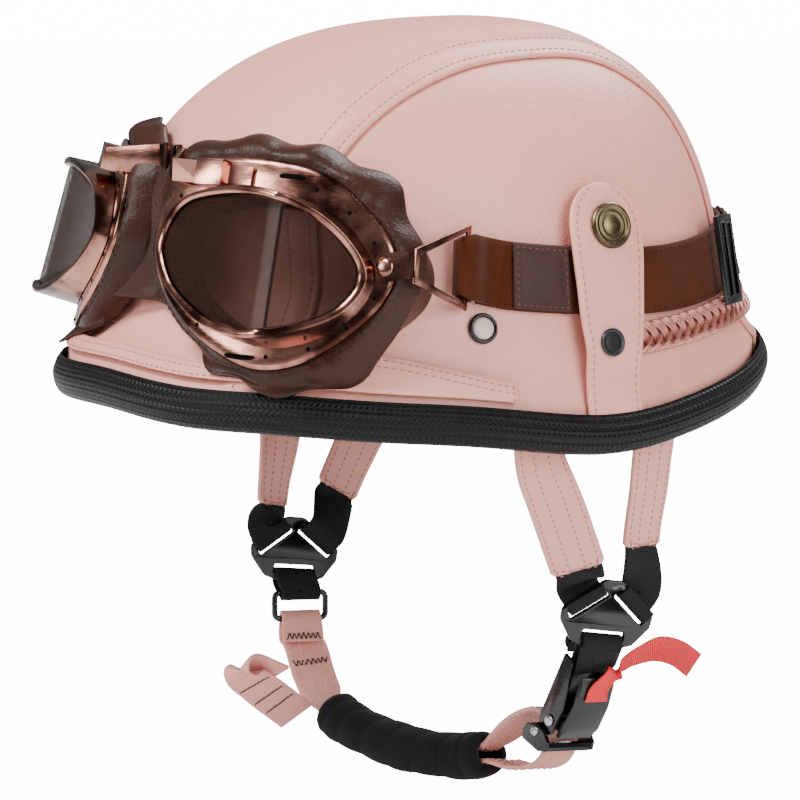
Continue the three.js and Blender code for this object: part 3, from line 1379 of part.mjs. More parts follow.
// Chin strap: sewn round the ring, through the sleeve and round the clamp's bar
function chinStrap() {
  const ring = ringAxes();
  const low = ring.centre.clone().addScaledVector(ring.up, -(RING_HEIGHT - RING_WIRE) / 2);
  const r = RING_WIRE / 2 + FIT + CHIN_WALL / 2 + 0.3;
  const main = CHIN_RIGHT.map(hung);
  const down = main[0].clone().sub(low);
  down.addScaledVector(ring.width, -down.dot(ring.width)).normalize();
  const face = new THREE.Vector3().crossVectors(down, ring.width).normalize();
  const sign = face.x > 0 ? 1 : -1;
  const round = (angle) => low.clone()
    .addScaledVector(face, sign * r * Math.cos(angle))
    .addScaledVector(down, -r * Math.sin(angle));
  const back = (away) => low.clone()
    .addScaledVector(face, sign * (r - away * 0.05))
    .addScaledVector(down, away);
  const wide = CHIN_WIDTH;
  const slim = 0.53 * CHIN_WIDTH;
  const clampRoom = BUCKLE_WIDTH - 2 * BUCKLE_WALL - 4 * FIT;
  const acrossRing = ring.width;
  const acrossSleeve = vec(-0.15, 0.95, -0.2);
  const acrossClamp = buckleAxes().width;
  const inSleeve = SLEEVE_LINE.map(hung);
  const drop = 0.24 * (SLEEVE_THICKNESS - 2 * SLEEVE_WALL);
  const end = inSleeve.length - 1;
  const path = [
    { p: back(11), across: acrossRing, width: wide - 2 },
    { p: back(5), across: acrossRing, width: wide - 2 },
    { p: round(0), across: acrossRing, width: wide - 3 },
    { p: round(Math.PI / 3), across: acrossRing, width: wide - 3 },
    { p: round((2 * Math.PI) / 3), across: acrossRing, width: wide - 3 },
    { p: round(Math.PI), across: acrossRing, width: wide - 3 },
  ];
  const settle = low.clone().addScaledVector(face, -sign * r * 0.9).addScaledVector(down, 8);
  path.push({ p: settle, across: acrossRing, width: wide - 1 });
  const lateral = new THREE.CatmullRomCurve3([
    settle, ...main, ...inSleeve.map((p, i) => p.clone().add(vec(0, 0, i > 1 ? -drop * (i / end) : 0))),
    ...CHIN_LEFT.map(hung), inSleeve[end].clone().lerp(inSleeve[end - 1], 0.05).add(vec(0, 0, drop)),
    inSleeve[end - 1].clone().lerp(inSleeve[end], 0.3).add(vec(0, 0, drop)),
  ]);
  const count = 34;
  steps(count).slice(1).forEach((t) => {
    const p = lateral.getPoint(t);
    const lean = clamp01((p.x / HARNESS_OUT + 0.75) / 0.3);
    const clamp = clamp01((p.x / HARNESS_OUT - 0.3) / 0.2);
    const across = acrossRing.clone().lerp(acrossSleeve, lean).lerp(acrossClamp, clamp);
    const share = p.x / HARNESS_OUT;
    const inside = smooth((share + 0.72) / 0.12) * (1 - smooth((share - 0.31) / 0.1));
    const room = wide - 1 - (wide - 1 - clampRoom) * smooth((p.x / HARNESS_OUT - 0.48) / 0.1);
    path.push({ p, across, width: room - (room - slim) * inside });
  });
  add("chin_strap", strap(path, CHIN_WALL), LOOKS.leather);
}

function strapTail() {
  const points = TAIL_LINE.map(hung);
  const across = [vec(0.55, 0.35, 0.75), vec(0.75, 0, 0.66)];
  const stations = route(points.slice(0, 3), across, CHIN_WIDTH - 3, 4);
  const fold = points.slice(3).map((p) => ({ p, across: across[1], width: CHIN_WIDTH - 3 }));
  add("strap_tail", strap([...stations, ...fold], CHIN_WALL), LOOKS.leather);
}

// Foam sleeve: a hollow tube round the chin strap
function chinSleeve() {
  const curve = new THREE.CatmullRomCurve3(SLEEVE_LINE.map(hung));
  const across = vec(-0.15, 0.95, -0.2).normalize();
  const count = 8;
  const sides = 12;
  const grid = (shrink) => steps(count).map((t) => {
    const p = curve.getPoint(t);
    const way = curve.getTangent(t);
    const wide = across.clone().addScaledVector(way, -across.dot(way)).normalize();
    const deep = new THREE.Vector3().crossVectors(way, wide).normalize();
    return steps(sides).slice(0, -1).map((s) => p.clone()
      .addScaledVector(wide, (SLEEVE_WIDTH / 2 - shrink) * Math.cos(2 * Math.PI * s))
      .addScaledVector(deep, (SLEEVE_THICKNESS / 2 - shrink) * Math.sin(2 * Math.PI * s)));
  });
  add("chin_sleeve", plateBetween(grid(0), grid(SLEEVE_WALL), true), LOOKS.foam);
}

// Buckle: along runs up the body, width is the pins' direction and out faces away from the head
function buckleAxes() {
  const pivot = hung({ out: 0.711, fore: 0.467, drop: 0.827 });
  const along = vec(0.4, 0.1, 0.91).normalize();
  const width = vec(0, 1, 0).addScaledVector(along, -along.y).normalize();
  const out = new THREE.Vector3().crossVectors(width, along).normalize();
  return { pivot, along, width, out };
}

function onBuckle(axes, a, w, n) {
  return axes.pivot.clone().addScaledVector(axes.along, a)
    .addScaledVector(axes.width, w).addScaledVector(axes.out, n);
}

// Plate cut to a side outline of (along, out) points, from one place across the buckle to another
function cheek(axes, points, from, to) {
  const shape = outline(points);
  const corner = onBuckle(axes, 0, from, 0);
  return extruded(shape, to - from, corner, axes.along, axes.out);
}

function crossBar(axes, a, n, radius, half, sides = 8) {
  const profile = [[0, -half], [radius, -half], [radius, half], [0, half]];
  return turned(profile, sides, onBuckle(axes, a, 0, n), axes.width);
}

function buckle() {
  const axes = buckleAxes();
  const w = BUCKLE_WIDTH / 2;
  const long = BUCKLE_LENGTH;
  const deep = BUCKLE_DEPTH;
  const side = [
    [-0.32 * long, -0.5 * deep], [-0.32 * long, -0.15 * deep], [-0.13 * long, 0.4 * deep],
    [0.26 * long, 0.5 * deep], [0.9 * long, -0.05 * deep], [0.9 * long, -0.72 * deep],
    [-0.03 * long, -0.72 * deep], [-0.13 * long, -0.58 * deep],
  ];
  const floor = [
    [-0.03 * long, -0.72 * deep], [-0.03 * long, -0.72 * deep + BUCKLE_WALL],
    [0.78 * long, -0.72 * deep + BUCKLE_WALL], [0.78 * long, -0.72 * deep],
  ];
  const topBar = { a: 0.85 * long, n: -0.1 * deep, r: 1.3 };
  const clampPin = { a: -0.24 * long, n: -0.4 * deep };
  const body = joined([
    cheek(axes, side, -w, -w + BUCKLE_WALL),
    cheek(axes, side, w - BUCKLE_WALL, w),
    cheek(axes, floor, -w + 0.2, w - 0.2),
    crossBar(axes, 0, 0, PIVOT_RADIUS, w + 0.9),
    crossBar(axes, topBar.a, topBar.n, topBar.r, w - 0.2),
  ]);
  add("buckle_body", body, LOOKS.gunmetal);

  const ear = w + FIT;
  const clampSide = [
    [-0.47 * long, -0.95 * deep], [-0.36 * long, -1.14 * deep], [-0.24 * long, -1.02 * deep],
    [-0.13 * long, -0.5 * deep], [-0.16 * long, 0.2 * deep], [-0.23 * long, 0.62 * deep],
    [-0.34 * long, 0.72 * deep], [-0.43 * long, 0.3 * deep],
  ];
  const pinEnds = [-1, 1].map((s) => turned(
    [[0, 0], [2, 0], [1.6, 0.8], [0, 1.1]],
    8,
    onBuckle(axes, clampPin.a, s * (ear + BUCKLE_WALL - 0.1), clampPin.n),
    axes.width.clone().multiplyScalar(s),
  ));
  const clamp = joined([
    cheek(axes, clampSide, -ear - BUCKLE_WALL, -ear),
    cheek(axes, clampSide, ear, ear + BUCKLE_WALL),
    crossBar(axes, -0.335 * long, -0.86 * deep, 2, ear + 0.2),
    crossBar(axes, -0.33 * long, 0.44 * deep, 2.1, ear + 0.2),
    ...pinEnds,
  ]);
  add("buckle_clamp", clamp, LOOKS.gunmetal);

  const half = w - BUCKLE_WALL - FIT - 0.5;
  const outer = [[-0.15, 0.7], [0.04, 0.98], [0.4, 1.03], [0.7, 0.82], [0.78, 0.66]];
  const inner = [[0.76, 0.52], [0.4, 0.73], [0.1, 0.66], [-0.13, 0.52]];
  const plate = [...outer, ...inner].map(([a, n]) => [a * long, n * deep]).reverse();
  const bore = PIVOT_RADIUS + FIT;
  const hub = turned(
    [[bore, -half], [bore + 1.5, -half], [bore + 1.5, half], [bore, half], [bore, -half]],
    12, onBuckle(axes, 0, 0, 0), axes.width,
  );
  const web = [[-0.06, 0.36], [0.08, 0.36], [0.12, 0.8], [-0.1, 0.7]].map(([a, n]) => [a * long, n * deep]);
  const webs = [[-half, -half + 1.6], [half - 1.6, half]].map(([from, to]) => cheek(axes, web, from, to));
  add("buckle_lever", joined([cheek(axes, plate, -half, half), hub, ...webs]), LOOKS.plastic);

  const top = onBuckle(axes, topBar.a, 0, topBar.n);
  const yoke = yokeAxes("left");
  const inside = 2 * (w - BUCKLE_WALL) - 1.4;
  const bar = { centre: top, radius: topBar.r + FIT + WEBBING_WALL / 2 + 0.2, across: axes.width };
  const loop = loopRound(yokeBar(yoke), bar, inside);
  add("webbing_left", loop, LOOKS.webbing);

  const roll = ROLL_RADIUS;
  const rollAt = { a: 0.9 * long + roll + FIT + 0.2, n: -0.85 * deep };
  add("webbing_roll", crossBar(axes, rollAt.a, rollAt.n, roll, w - 1), LOOKS.webbing);

  const seat = 0.4 + FIT;
  const held = [[0.5, 0.98, 1], [0.66, 0.88, 0.9]].map(([a, n, share]) => (
    { p: onBuckle(axes, a * long, 0, n * deep + seat), across: axes.width, width: share * RIBBON_WIDTH }
  ));
  const free = RIBBON_LINE.map((row) => (
    { p: hung(row), across: vec(...row.turn), width: row.wide * RIBBON_WIDTH }
  ));
  add("pull_ribbon", strap([...held, ...free], RIBBON_WALL), LOOKS.ribbon);
}

seatGoggles();
shell();
centrePanel();
for (const [name, side] of SIDES) {
  sidePanel(name, side);
}
visorPanel();
edgeTrim();
elasticBand();
braidedCord();
bandLabel();
for (const [name, side] of SIDES) {
  strapTab(name, side);
  tabFasteners(name, side);
  sideStud(name, side);
}
bandSlider();
for (const [name, side] of SIDES) {
  goggleFrame(name, side);
  goggleBezel(name, side);
  lenses(name, side);
}
goggleMask();
noseBridge();
for (const [name, side] of SIDES) {
  templeLink(name, side);
  bandLoop(name, side);
}
for (const name of Object.keys(YOKES)) {
  yokePlate(name);
}
for (const row of STRAPS) {
  harnessWebbing(harnessStrap(row));
}
harnessRing();
chinStrap();
strapTail();
chinSleeve();
buckle();

export default group;
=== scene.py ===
# %% [markdown]
# # A leather-covered half helmet with goggles
# The lesson dresses a imported CAD model: every solid keeps its size and place, and gets the curves,
# seams and finishes of the real thing. It starts by loading the frame.

import math

import bpy
import numpy as np
from mathutils import Matrix, Vector


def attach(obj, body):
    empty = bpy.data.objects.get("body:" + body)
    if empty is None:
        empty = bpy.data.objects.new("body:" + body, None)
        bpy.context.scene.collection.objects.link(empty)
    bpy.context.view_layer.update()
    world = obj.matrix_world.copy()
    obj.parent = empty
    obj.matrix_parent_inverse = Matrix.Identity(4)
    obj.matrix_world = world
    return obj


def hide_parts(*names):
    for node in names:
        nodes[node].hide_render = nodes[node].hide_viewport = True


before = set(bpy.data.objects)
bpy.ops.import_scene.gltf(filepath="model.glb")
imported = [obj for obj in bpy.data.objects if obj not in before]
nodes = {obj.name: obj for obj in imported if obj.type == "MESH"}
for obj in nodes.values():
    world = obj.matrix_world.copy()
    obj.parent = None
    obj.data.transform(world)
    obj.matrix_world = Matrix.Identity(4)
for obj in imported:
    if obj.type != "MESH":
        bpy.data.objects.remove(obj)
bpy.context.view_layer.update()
scene = bpy.context.scene
MM = 0.001
LEFT, RIGHT = 1, -1
SIDES = (("left", LEFT), ("right", RIGHT))

# %% [markdown]
# ## The crown as a formula
# A helmet's dome is one smooth form that flares into a brim. A subdivided box could be pushed into
# that shape, but a formula that is negative inside and positive outside gives every leather panel,
# band and stitch the same surface to lie on. Rays are halved until they meet it.

# %% Crown sizes in millimetres, and tables. Rim: turn, rise, flare, fade
HALF_WIDTH, FRONT_REACH, BACK_REACH, CROWN_HEIGHT = 104, 147, 106, 154.5
SETBACK, CROWN_TILT, TUCK, PLAN_POWER, RISE_POWER = 20, 0.038, 14, 2.31, 2.64
RIM = np.array([
    (0, 0.603, 1, 0.8), (18, 0.553, 1, 0.8), (31, 0.553, 0.886, 0.84), (45, 0.5, 0.682, 1.02),
    (60, 0.435, 0.5, 1.04), (85, 0.265, 0.341, 1.04), (97, 0.282, 0.345, 1),
    (110, 0.418, 0.418, 0.96), (129, 0.676, 0.577, 0.9), (140, 0.838, 0.632, 0.865),
    (155, 0.941, 0.645, 0.846), (180, 1, 0.655, 0.81),
])
SEAM = np.array([
    (0, 1.32, 1.42), (0.13, 1.297, 1.405), (0.36, 1.245, 1.351), (0.54, 1.193, 1.297),
    (0.69, 1.16, 1.218), (0.78, 1.137, 1.15), (0.85, 1.103, 1.117), (0.92, 1.027, 1.03),
    (0.94, 1, 1), (1, 1, 1),
])
BAND_LINE = np.array([
    (0, 1.2), (59, 1.1), (68, 1.048), (84, 1.005), (100, 0.985), (114, 1), (127, 1.055),
    (150, 1.14), (180, 1.17),
])
BRAID_LINE = np.array([(0, 1), (97, 1), (112, 1.07), (129, 1.19), (150, 1.29), (180, 1.34)])
RIM_RISE, BRIM_FLARE, FLARE_HEIGHT, SEAM_HALF = 34, 22, 52, 55.5
LEATHER, LAP, SHELL_GAP, SHELL_WALL, EDGE_DEPTH = 1.2, 0.5, 1.9, 3.6, 11


# %% Reading a table smoothly, and turns round the crown
def along(rows, column, at):
    """Smooth curve through one column of a table, flat at both ends."""
    keys, values = rows[:, 0], rows[:, column]
    slope = np.zeros(len(keys))
    slope[1:-1] = (values[2:] - values[:-2]) / (keys[2:] - keys[:-2])
    at = np.asarray(at, float)
    i = np.clip(np.searchsorted(keys, at) - 1, 0, len(keys) - 2)
    span = keys[i + 1] - keys[i]
    t = np.clip((at - keys[i]) / span, 0, 1)
    rise, a, b = values[i + 1] - values[i], slope[i] * span, slope[i + 1] * span
    return values[i] + a * t + (3 * rise - 2 * a - b) * t**2 + (a + b - 2 * rise) * t**3


def smooth(t):
    """A soft step from 0 to 1."""
    t = np.clip(t, 0, 1)
    return t * t * (3 - 2 * t)


def fold(turn):
    """A turn from the front as 0 to 180 degrees on either side."""
    return np.abs((np.asarray(turn, float) % 360 + 540) % 360 - 180)


def rim_height(turn):
    return RIM_RISE * along(RIM, 1, fold(turn))


def turn_of(p):
    return np.degrees(np.arctan2(p[..., 0], SETBACK - p[..., 1]))


print("Rim height at front, side and back:", rim_height([0, 90, 180]).round(1))


# %% The surface itself: its level, where rays meet it, and its normal
def level(p):
    """Negative inside the crown, positive outside: a rounded dome with a brim that flares out."""
    x, y, z = p[..., 0], p[..., 1] - SETBACK, p[..., 2]
    reach = np.hypot(x, y) + 1e-9
    turn = turn_of(p)
    fade = FLARE_HEIGHT * along(RIM, 3, fold(turn))
    t = np.clip((rim_height(turn) + fade - z) / fade, 0, 1)
    kept = np.maximum(reach - BRIM_FLARE * along(RIM, 2, fold(turn)) * t**2.5, 0) / reach
    x, y = x * kept, y * kept
    z = np.maximum(z - CROWN_TILT * y, 0)
    tuck = TUCK * smooth((105 - z) / 50)
    long = np.where(y < 0, FRONT_REACH - tuck, BACK_REACH)
    power = PLAN_POWER + 0.3 * np.clip(z / CROWN_HEIGHT, 0, 1)
    plan = np.abs(x / HALF_WIDTH) ** power + np.abs(y / long) ** power
    return plan + (z / CROWN_HEIGHT) ** RISE_POWER - 1


def halved(near, far, shape, holds_at, steps):
    """Where a test stops holding between two values, found by halving, for every place at once."""
    near, far = np.full(shape, float(near)), np.full(shape, float(far))
    for _ in range(steps):
        middle = (near + far) / 2
        holds = holds_at(middle)
        near, far = np.where(holds, middle, near), np.where(holds, far, middle)
    return near


def reach_from(origin, way):
    """Where rays from inside the crown meet its surface."""
    origin, way = np.broadcast_arrays(np.asarray(origin, float), np.asarray(way, float))
    reach = halved(0, 441, origin.shape[:-1], lambda r: level(origin + way * r[..., None]) < 0, 34)
    return origin + way * reach[..., None]


def unit(v):
    return v / np.maximum(np.linalg.norm(v, axis=-1, keepdims=True), 1e-12)


def normal_at(p):
    here, e = level(p), 0.05
    return unit(np.stack([level(p + e * axis) - here for axis in np.eye(3)], axis=-1))


def lifted(p, off):
    return p + normal_at(p) * np.asarray(off, float)[..., None]


def stack(*parts):
    return np.stack(np.broadcast_arrays(*[np.asarray(a, float) for a in parts]), axis=-1)


def out_at(turn):
    a = np.radians(np.asarray(turn, float))
    return stack(np.sin(a), -np.cos(a), 0 * a)


# %% Places on the crown
def crown_at(turn, z, off=0):
    """Places on the crown at a turn and a height, lifted off it."""
    turn, z, off = np.broadcast_arrays(np.asarray(turn, float), z, off)
    return lifted(reach_from(stack(0 * z, 0 * z + SETBACK, z), out_at(turn)), off)


def side_at(side, y, z, off=0):
    """Places on the crown straight out to one side, lifted off it."""
    y, z, off = np.broadcast_arrays(np.asarray(y, float), z, off)
    return lifted(reach_from(stack(0 * y, y, z), stack(side + 0 * y, 0 * y, 0 * y)), off)


print("Crown's side at the middle:", side_at(LEFT, 20.0, 40.0).round(1))

# %% [markdown]
# ## Meshes with their own measure
# Woven and ribbed finishes have to follow the surface, so every mesh made here carries a UV map in
# millimetres. Two builders are enough: a plate between two grids, and a body swept through sections.


# %% New objects, with their faces turned outwards
def new_object(name, points, faces, uvs=None):
    mesh = bpy.data.meshes.new(name)
    mesh.from_pydata((np.asarray(points) * MM).tolist(), [], faces)
    if uvs is not None:
        layer = mesh.uv_layers.new(name="measure")
        layer.data.foreach_set("uv", np.asarray(uvs, float).ravel())
    mesh.validate()
    mesh.polygons.foreach_set("use_smooth", [True] * len(mesh.polygons))
    obj = bpy.data.objects.new(name, mesh)
    scene.collection.objects.link(obj)
    turn_outwards(obj)
    return obj


def turn_outwards(obj):
    mesh = obj.data
    mesh.calc_loop_triangles()
    at = np.array([v.co for v in mesh.vertices])
    tri = np.array([t.vertices for t in mesh.loop_triangles])
    volume = np.einsum("ij,ij->i", at[tri[:, 0]], np.cross(at[tri[:, 1]], at[tri[:, 2]])).sum()
    if volume < 0:
        mesh.flip_normals()


# %% A closed plate between two grids
def plate(name, outer, inner, wrap=False):
    """Closed plate between two grids of rows and columns; a wrapped one closes round its columns."""
    rows, columns = outer.shape[:2]
    ring = np.arange(columns + 1) % columns if wrap else np.arange(columns)
    last = len(ring) - 1
    down = np.r_[0, np.linalg.norm(np.diff(outer[:, columns // 2], axis=0), axis=1).cumsum()]
    over = np.r_[0, np.linalg.norm(np.diff(outer[rows // 2][ring], axis=0), axis=1).cumsum()]
    half, faces, uvs = rows * columns, [], []

    def quad(*corners):
        faces.append([layer * half + r * columns + int(ring[c]) for r, c, layer in corners])
        uvs.extend((over[c], down[r] + 3 * layer) for r, c, layer in corners)

    for r in range(rows - 1):
        for c in range(last):
            quad((r, c, 0), (r, c + 1, 0), (r + 1, c + 1, 0), (r + 1, c, 0))
            quad((r, c, 1), (r + 1, c, 1), (r + 1, c + 1, 1), (r, c + 1, 1))
    for c in range(last):
        quad((0, c, 0), (0, c, 1), (0, c + 1, 1), (0, c + 1, 0))
        quad((rows - 1, c, 0), (rows - 1, c + 1, 0), (rows - 1, c + 1, 1), (rows - 1, c, 1))
    if not wrap:
        for r in range(rows - 1):
            quad((r, 0, 0), (r + 1, 0, 0), (r + 1, 0, 1), (r, 0, 1))
            quad((r, last, 0), (r, last, 1), (r + 1, last, 1), (r + 1, last, 0))
    points = np.concatenate([outer.reshape(-1, 3), inner.reshape(-1, 3)])
    return new_object(name, points, faces, uvs)


# %% A body swept through sections
def swept(name, sections, closed=False):
    """Body through sections of equal point counts, with ends capped, or closed on itself."""
    sections = np.asarray(sections, float)
    count, sides = sections.shape[:2]
    middle = sections.mean(axis=1)
    path = np.r_[middle, middle[:1]] if closed else middle
    run = np.r_[0, np.linalg.norm(np.diff(path, axis=0), axis=1).cumsum()]
    hoop = sections[count // 2][np.arange(sides + 1) % sides]
    round_ = np.r_[0, np.linalg.norm(np.diff(hoop, axis=0), axis=1).cumsum()]
    faces, uvs = [], []
    for i in range(count if closed else count - 1):
        for j in range(sides):
            a, b = (i + 1) % count, (j + 1) % sides
            faces.append([i * sides + j, i * sides + b, a * sides + b, a * sides + j])
            uvs += [(run[i], round_[j]), (run[i], round_[j + 1])]
            uvs += [(run[i + 1], round_[j + 1]), (run[i + 1], round_[j])]
    if not closed:
        for i, order in ((0, range(sides - 1, -1, -1)), (count - 1, range(sides))):
            faces.append([i * sides + j for j in order])
            uvs += [(run[i], round_[j]) for j in order]
    return new_object(name, sections.reshape(-1, 3), faces, uvs)


# %% Curves through points, and lathed bodies
def spline(points, count, closed=False):
    """Centripetal curve through points, sampled evenly in its own parameter."""
    p = np.asarray(points, float)
    n = len(p)
    if closed:
        p = np.concatenate([p[-1:], p, p[:2]])
    else:
        p = np.concatenate([[2 * p[0] - p[1]], p, [2 * p[-1] - p[-2]]])
    spans = n if closed else n - 1
    places = np.linspace(0, spans, count, endpoint=not closed)
    result = []
    for place in places:
        i = min(int(place), spans - 1)
        a, b, c, d = p[i:i + 4]
        knots = [max(np.linalg.norm(v - u) ** 0.5, 1e-4) for u, v in ((a, b), (b, c), (c, d))]
        t = place - i
        m1 = ((b - a) / knots[0] - (c - a) / (knots[0] + knots[1]) + (c - b) / knots[1]) * knots[1]
        m2 = ((c - b) / knots[1] - (d - b) / (knots[1] + knots[2]) + (d - c) / knots[2]) * knots[1]
        x = 2 * b - 2 * c + m1 + m2
        y = -3 * b + 3 * c - 2 * m1 - m2
        result.append(((x * t + y) * t + m1) * t + b)
    return np.array(result)


def turned(name, profile, base, normal, segments=56):
    """Lathe of (radius, height) pairs, standing on a point with its axis along a normal."""
    normal = Vector(normal).normalized()
    side = normal.orthogonal().normalized()
    front = normal.cross(side)
    line = spline([(r, h, 0) for r, h in profile], 4 * len(profile))[:, :2]
    rings = []
    for r, h in line:
        a = np.linspace(0, 2 * np.pi, segments, endpoint=False)
        ring = np.outer(np.cos(a) * max(r, 0.02), side) + np.outer(np.sin(a) * max(r, 0.02), front)
        rings.append(np.asarray(base) + ring + h * np.array(normal))
    return swept(name, rings)


print("Builders ready")

# %% [markdown]
# ## Finishes
# The helmet is nearly all leather, cloth and metal, so three effects carry it: a pebbled grain, a
# weave that follows the piece's own measure, with painted shade in its gaps, and wear, which is the
# streaks of old metal with dark patches that are partly patina and partly painted dark reflection.
# Each is one node group with named sockets, placed in every material with its own values.


# %% Helpers for node trees
def group_tree(name, inputs, outputs):
    tree = bpy.data.node_groups.new(name, "ShaderNodeTree")
    kinds = {"F": "NodeSocketFloat", "V": "NodeSocketVector", "C": "NodeSocketColor"}
    for label, kind, value in inputs:
        socket = tree.interface.new_socket(name=label, in_out="INPUT", socket_type=kinds[kind])
        if value is not None:
            socket.default_value = value
    for label, kind in outputs:
        tree.interface.new_socket(name=label, in_out="OUTPUT", socket_type=kinds[kind])
    return tree, tree.nodes.new("NodeGroupInput"), tree.nodes.new("NodeGroupOutput")


def put(tree, kind, inputs=(), **settings):
    """A node with its settings; an input is a value or another node's socket."""
    node = tree.nodes.new(kind)
    for key, value in settings.items():
        setattr(node, key, value)
    for key, value in dict(inputs).items():
        if isinstance(value, bpy.types.NodeSocket):
            tree.links.new(value, node.inputs[key])
        else:
            node.inputs[key].default_value = value
    return node


def maths(tree, operation, *values):
    return put(tree, "ShaderNodeMath", dict(enumerate(values)), operation=operation).outputs[0]


def band(tree, value, low, high, to_low=0.0, to_high=1.0):
    node = put(tree, "ShaderNodeMapRange", {
        "Value": value, "From Min": low, "From Max": high, "To Min": to_low, "To Max": to_high,
    }, interpolation_type="SMOOTHSTEP")
    return node.outputs["Result"]


# %% Grain: pebbles of leather with finer creases and slow changes of tone
def grain_group():
    tree, into, out = group_tree("leather grain", [
        ("Place", "V", None), ("Pebble", "F", 900.0), ("Crease", "F", 0.35), ("Slow", "F", 14.0),
    ], [("Height", "F"), ("Tone", "F"), ("Patch", "F")])
    place = into.outputs["Place"]
    pebble = put(tree, "ShaderNodeTexVoronoi", {"Vector": place, "Scale": into.outputs["Pebble"]},
                 feature="SMOOTH_F1")
    closer = maths(tree, "MULTIPLY", into.outputs["Pebble"], 0.45)
    fine = put(tree, "ShaderNodeTexNoise", {"Vector": place, "Scale": closer, "Detail": 4.0})
    slow = put(tree, "ShaderNodeTexNoise", {
        "Vector": place, "Scale": into.outputs["Slow"], "Detail": 3.0, "Distortion": 0.4,
    })
    dome = maths(tree, "SUBTRACT", 1.0, pebble.outputs["Distance"])
    crease = maths(tree, "MULTIPLY", fine.outputs["Fac"], into.outputs["Crease"])
    height = maths(tree, "ADD", dome, crease)
    tree.links.new(height, out.inputs["Height"])
    tree.links.new(band(tree, height, 0.4, 1.2), out.inputs["Tone"])
    tree.links.new(band(tree, slow.outputs["Fac"], 0.35, 0.68), out.inputs["Patch"])
    return tree


# %% Weave: ribs along and across a strap's own measure in millimetres; painted shade in the gaps
def weave_group():
    tree, into, out = group_tree("weave", [
        ("Measure", "V", None), ("Along", "F", 1.2), ("Across", "F", 1.2), ("Slant", "F", 0.0),
    ], [("Height", "F"), ("Gap", "F")])
    split = put(tree, "ShaderNodeSeparateXYZ", {"Vector": into.outputs["Measure"]})
    u, v = split.outputs["X"], split.outputs["Y"]
    row = maths(tree, "DIVIDE", v, into.outputs["Across"])
    zigzag = maths(tree, "PINGPONG", row, 1.0)
    lean = maths(tree, "MULTIPLY", zigzag, into.outputs["Slant"])
    step = maths(tree, "ADD", maths(tree, "DIVIDE", u, into.outputs["Along"]), lean)
    over = maths(tree, "SINE", maths(tree, "MULTIPLY", step, 2 * math.pi))
    side = maths(tree, "COSINE", maths(tree, "MULTIPLY", row, 2 * math.pi))
    ribs = maths(tree, "MULTIPLY_ADD", over, 0.5, 0.5)
    edge = maths(tree, "MULTIPLY_ADD", side, -0.25, 0.25)
    height = maths(tree, "MULTIPLY_ADD", ribs, 0.7, edge)
    tree.links.new(height, out.inputs["Height"])
    # The gaps between ribs are darkened: painted shade.
    tree.links.new(band(tree, height, 0.45, 0.12), out.inputs["Gap"])
    return tree


# %% Wear: brushed streaks, and dark patches: partly patina, partly painted dark reflection
def wear_and_reflection_group():
    tree, into, out = group_tree("worn metal and painted reflection", [
        ("Place", "V", None), ("Brush", "F", 260.0), ("Patina and reflection scale", "F", 45.0),
    ], [("Dark", "F"), ("Streak", "F")])
    long = put(tree, "ShaderNodeMapping", {"Vector": into.outputs["Place"], "Scale": (1, 1, 9)})
    streak = put(tree, "ShaderNodeTexNoise", {
        "Vector": long.outputs["Vector"], "Scale": into.outputs["Brush"], "Detail": 3.0,
    })
    patch = put(tree, "ShaderNodeTexNoise", {
        "Vector": into.outputs["Place"], "Scale": into.outputs["Patina and reflection scale"], "Detail": 4.0,
    })
    # Dark patches: partly patina, partly a painted reflection of dark surroundings.
    tree.links.new(band(tree, patch.outputs["Fac"], 0.36, 0.6), out.inputs["Dark"])
    tree.links.new(streak.outputs["Fac"], out.inputs["Streak"])
    return tree


GRAIN, WEAVE, WEAR_AND_REFLECTION = grain_group(), weave_group(), wear_and_reflection_group()
print("Node groups:", GRAIN.name, WEAVE.name, WEAR_AND_REFLECTION.name)


# %% Materials are a Principled shader with plain values, fed only by colours and a bump
def material(name, colour, roughness, **sockets):
    mat = bpy.data.materials.new(name)
    mat.use_nodes = True
    mat.diffuse_color = (*colour, 1)
    shader = mat.node_tree.nodes["Principled BSDF"]
    shader.inputs["Base Color"].default_value = (*colour, 1)
    shader.inputs["Roughness"].default_value = roughness
    for key, value in sockets.items():
        shader.inputs[key.replace("_", " ")].default_value = value
    return mat, mat.node_tree, shader


def place_of(tree):
    return put(tree, "ShaderNodeTexCoord").outputs["Object"]


def measure_of(tree):
    return put(tree, "ShaderNodeUVMap", uv_map="measure").outputs["UV"]


def mixed(tree, mask, first, second):
    node = put(tree, "ShaderNodeMix", {"Factor": mask}, data_type="RGBA")
    for index, value in ((6, first), (7, second)):
        if isinstance(value, bpy.types.NodeSocket):
            tree.links.new(value, node.inputs[index])
        else:
            node.inputs[index].default_value = (*value, 1)
    return node.outputs[2]


def bumped(tree, shader, height, distance, strength=1.0):
    bump = put(tree, "ShaderNodeBump", {
        "Height": height, "Distance": distance * MM, "Strength": strength,
    })
    tree.links.new(bump.outputs["Normal"], shader.inputs["Normal"])


# %% Three kinds of finish, each with its node group
def leather(name, colour, shade, roughness, pebble, depth, slow=14.0, crease=0.35, **sockets):
    mat, tree, shader = material(name, colour, roughness, **sockets)
    grain = put(tree, "ShaderNodeGroup", node_tree=GRAIN)
    tree.links.new(place_of(tree), grain.inputs["Place"])
    for key, value in (("Pebble", pebble), ("Slow", slow), ("Crease", crease)):
        grain.inputs[key].default_value = value
    deep = tuple(c * shade for c in colour)
    toned = mixed(tree, grain.outputs["Tone"], deep, colour)
    patchy = mixed(tree, grain.outputs["Patch"], toned, tuple(c * (1 + shade) / 2 for c in colour))
    tree.links.new(patchy, shader.inputs["Base Color"])
    bumped(tree, shader, grain.outputs["Height"], depth)
    return mat


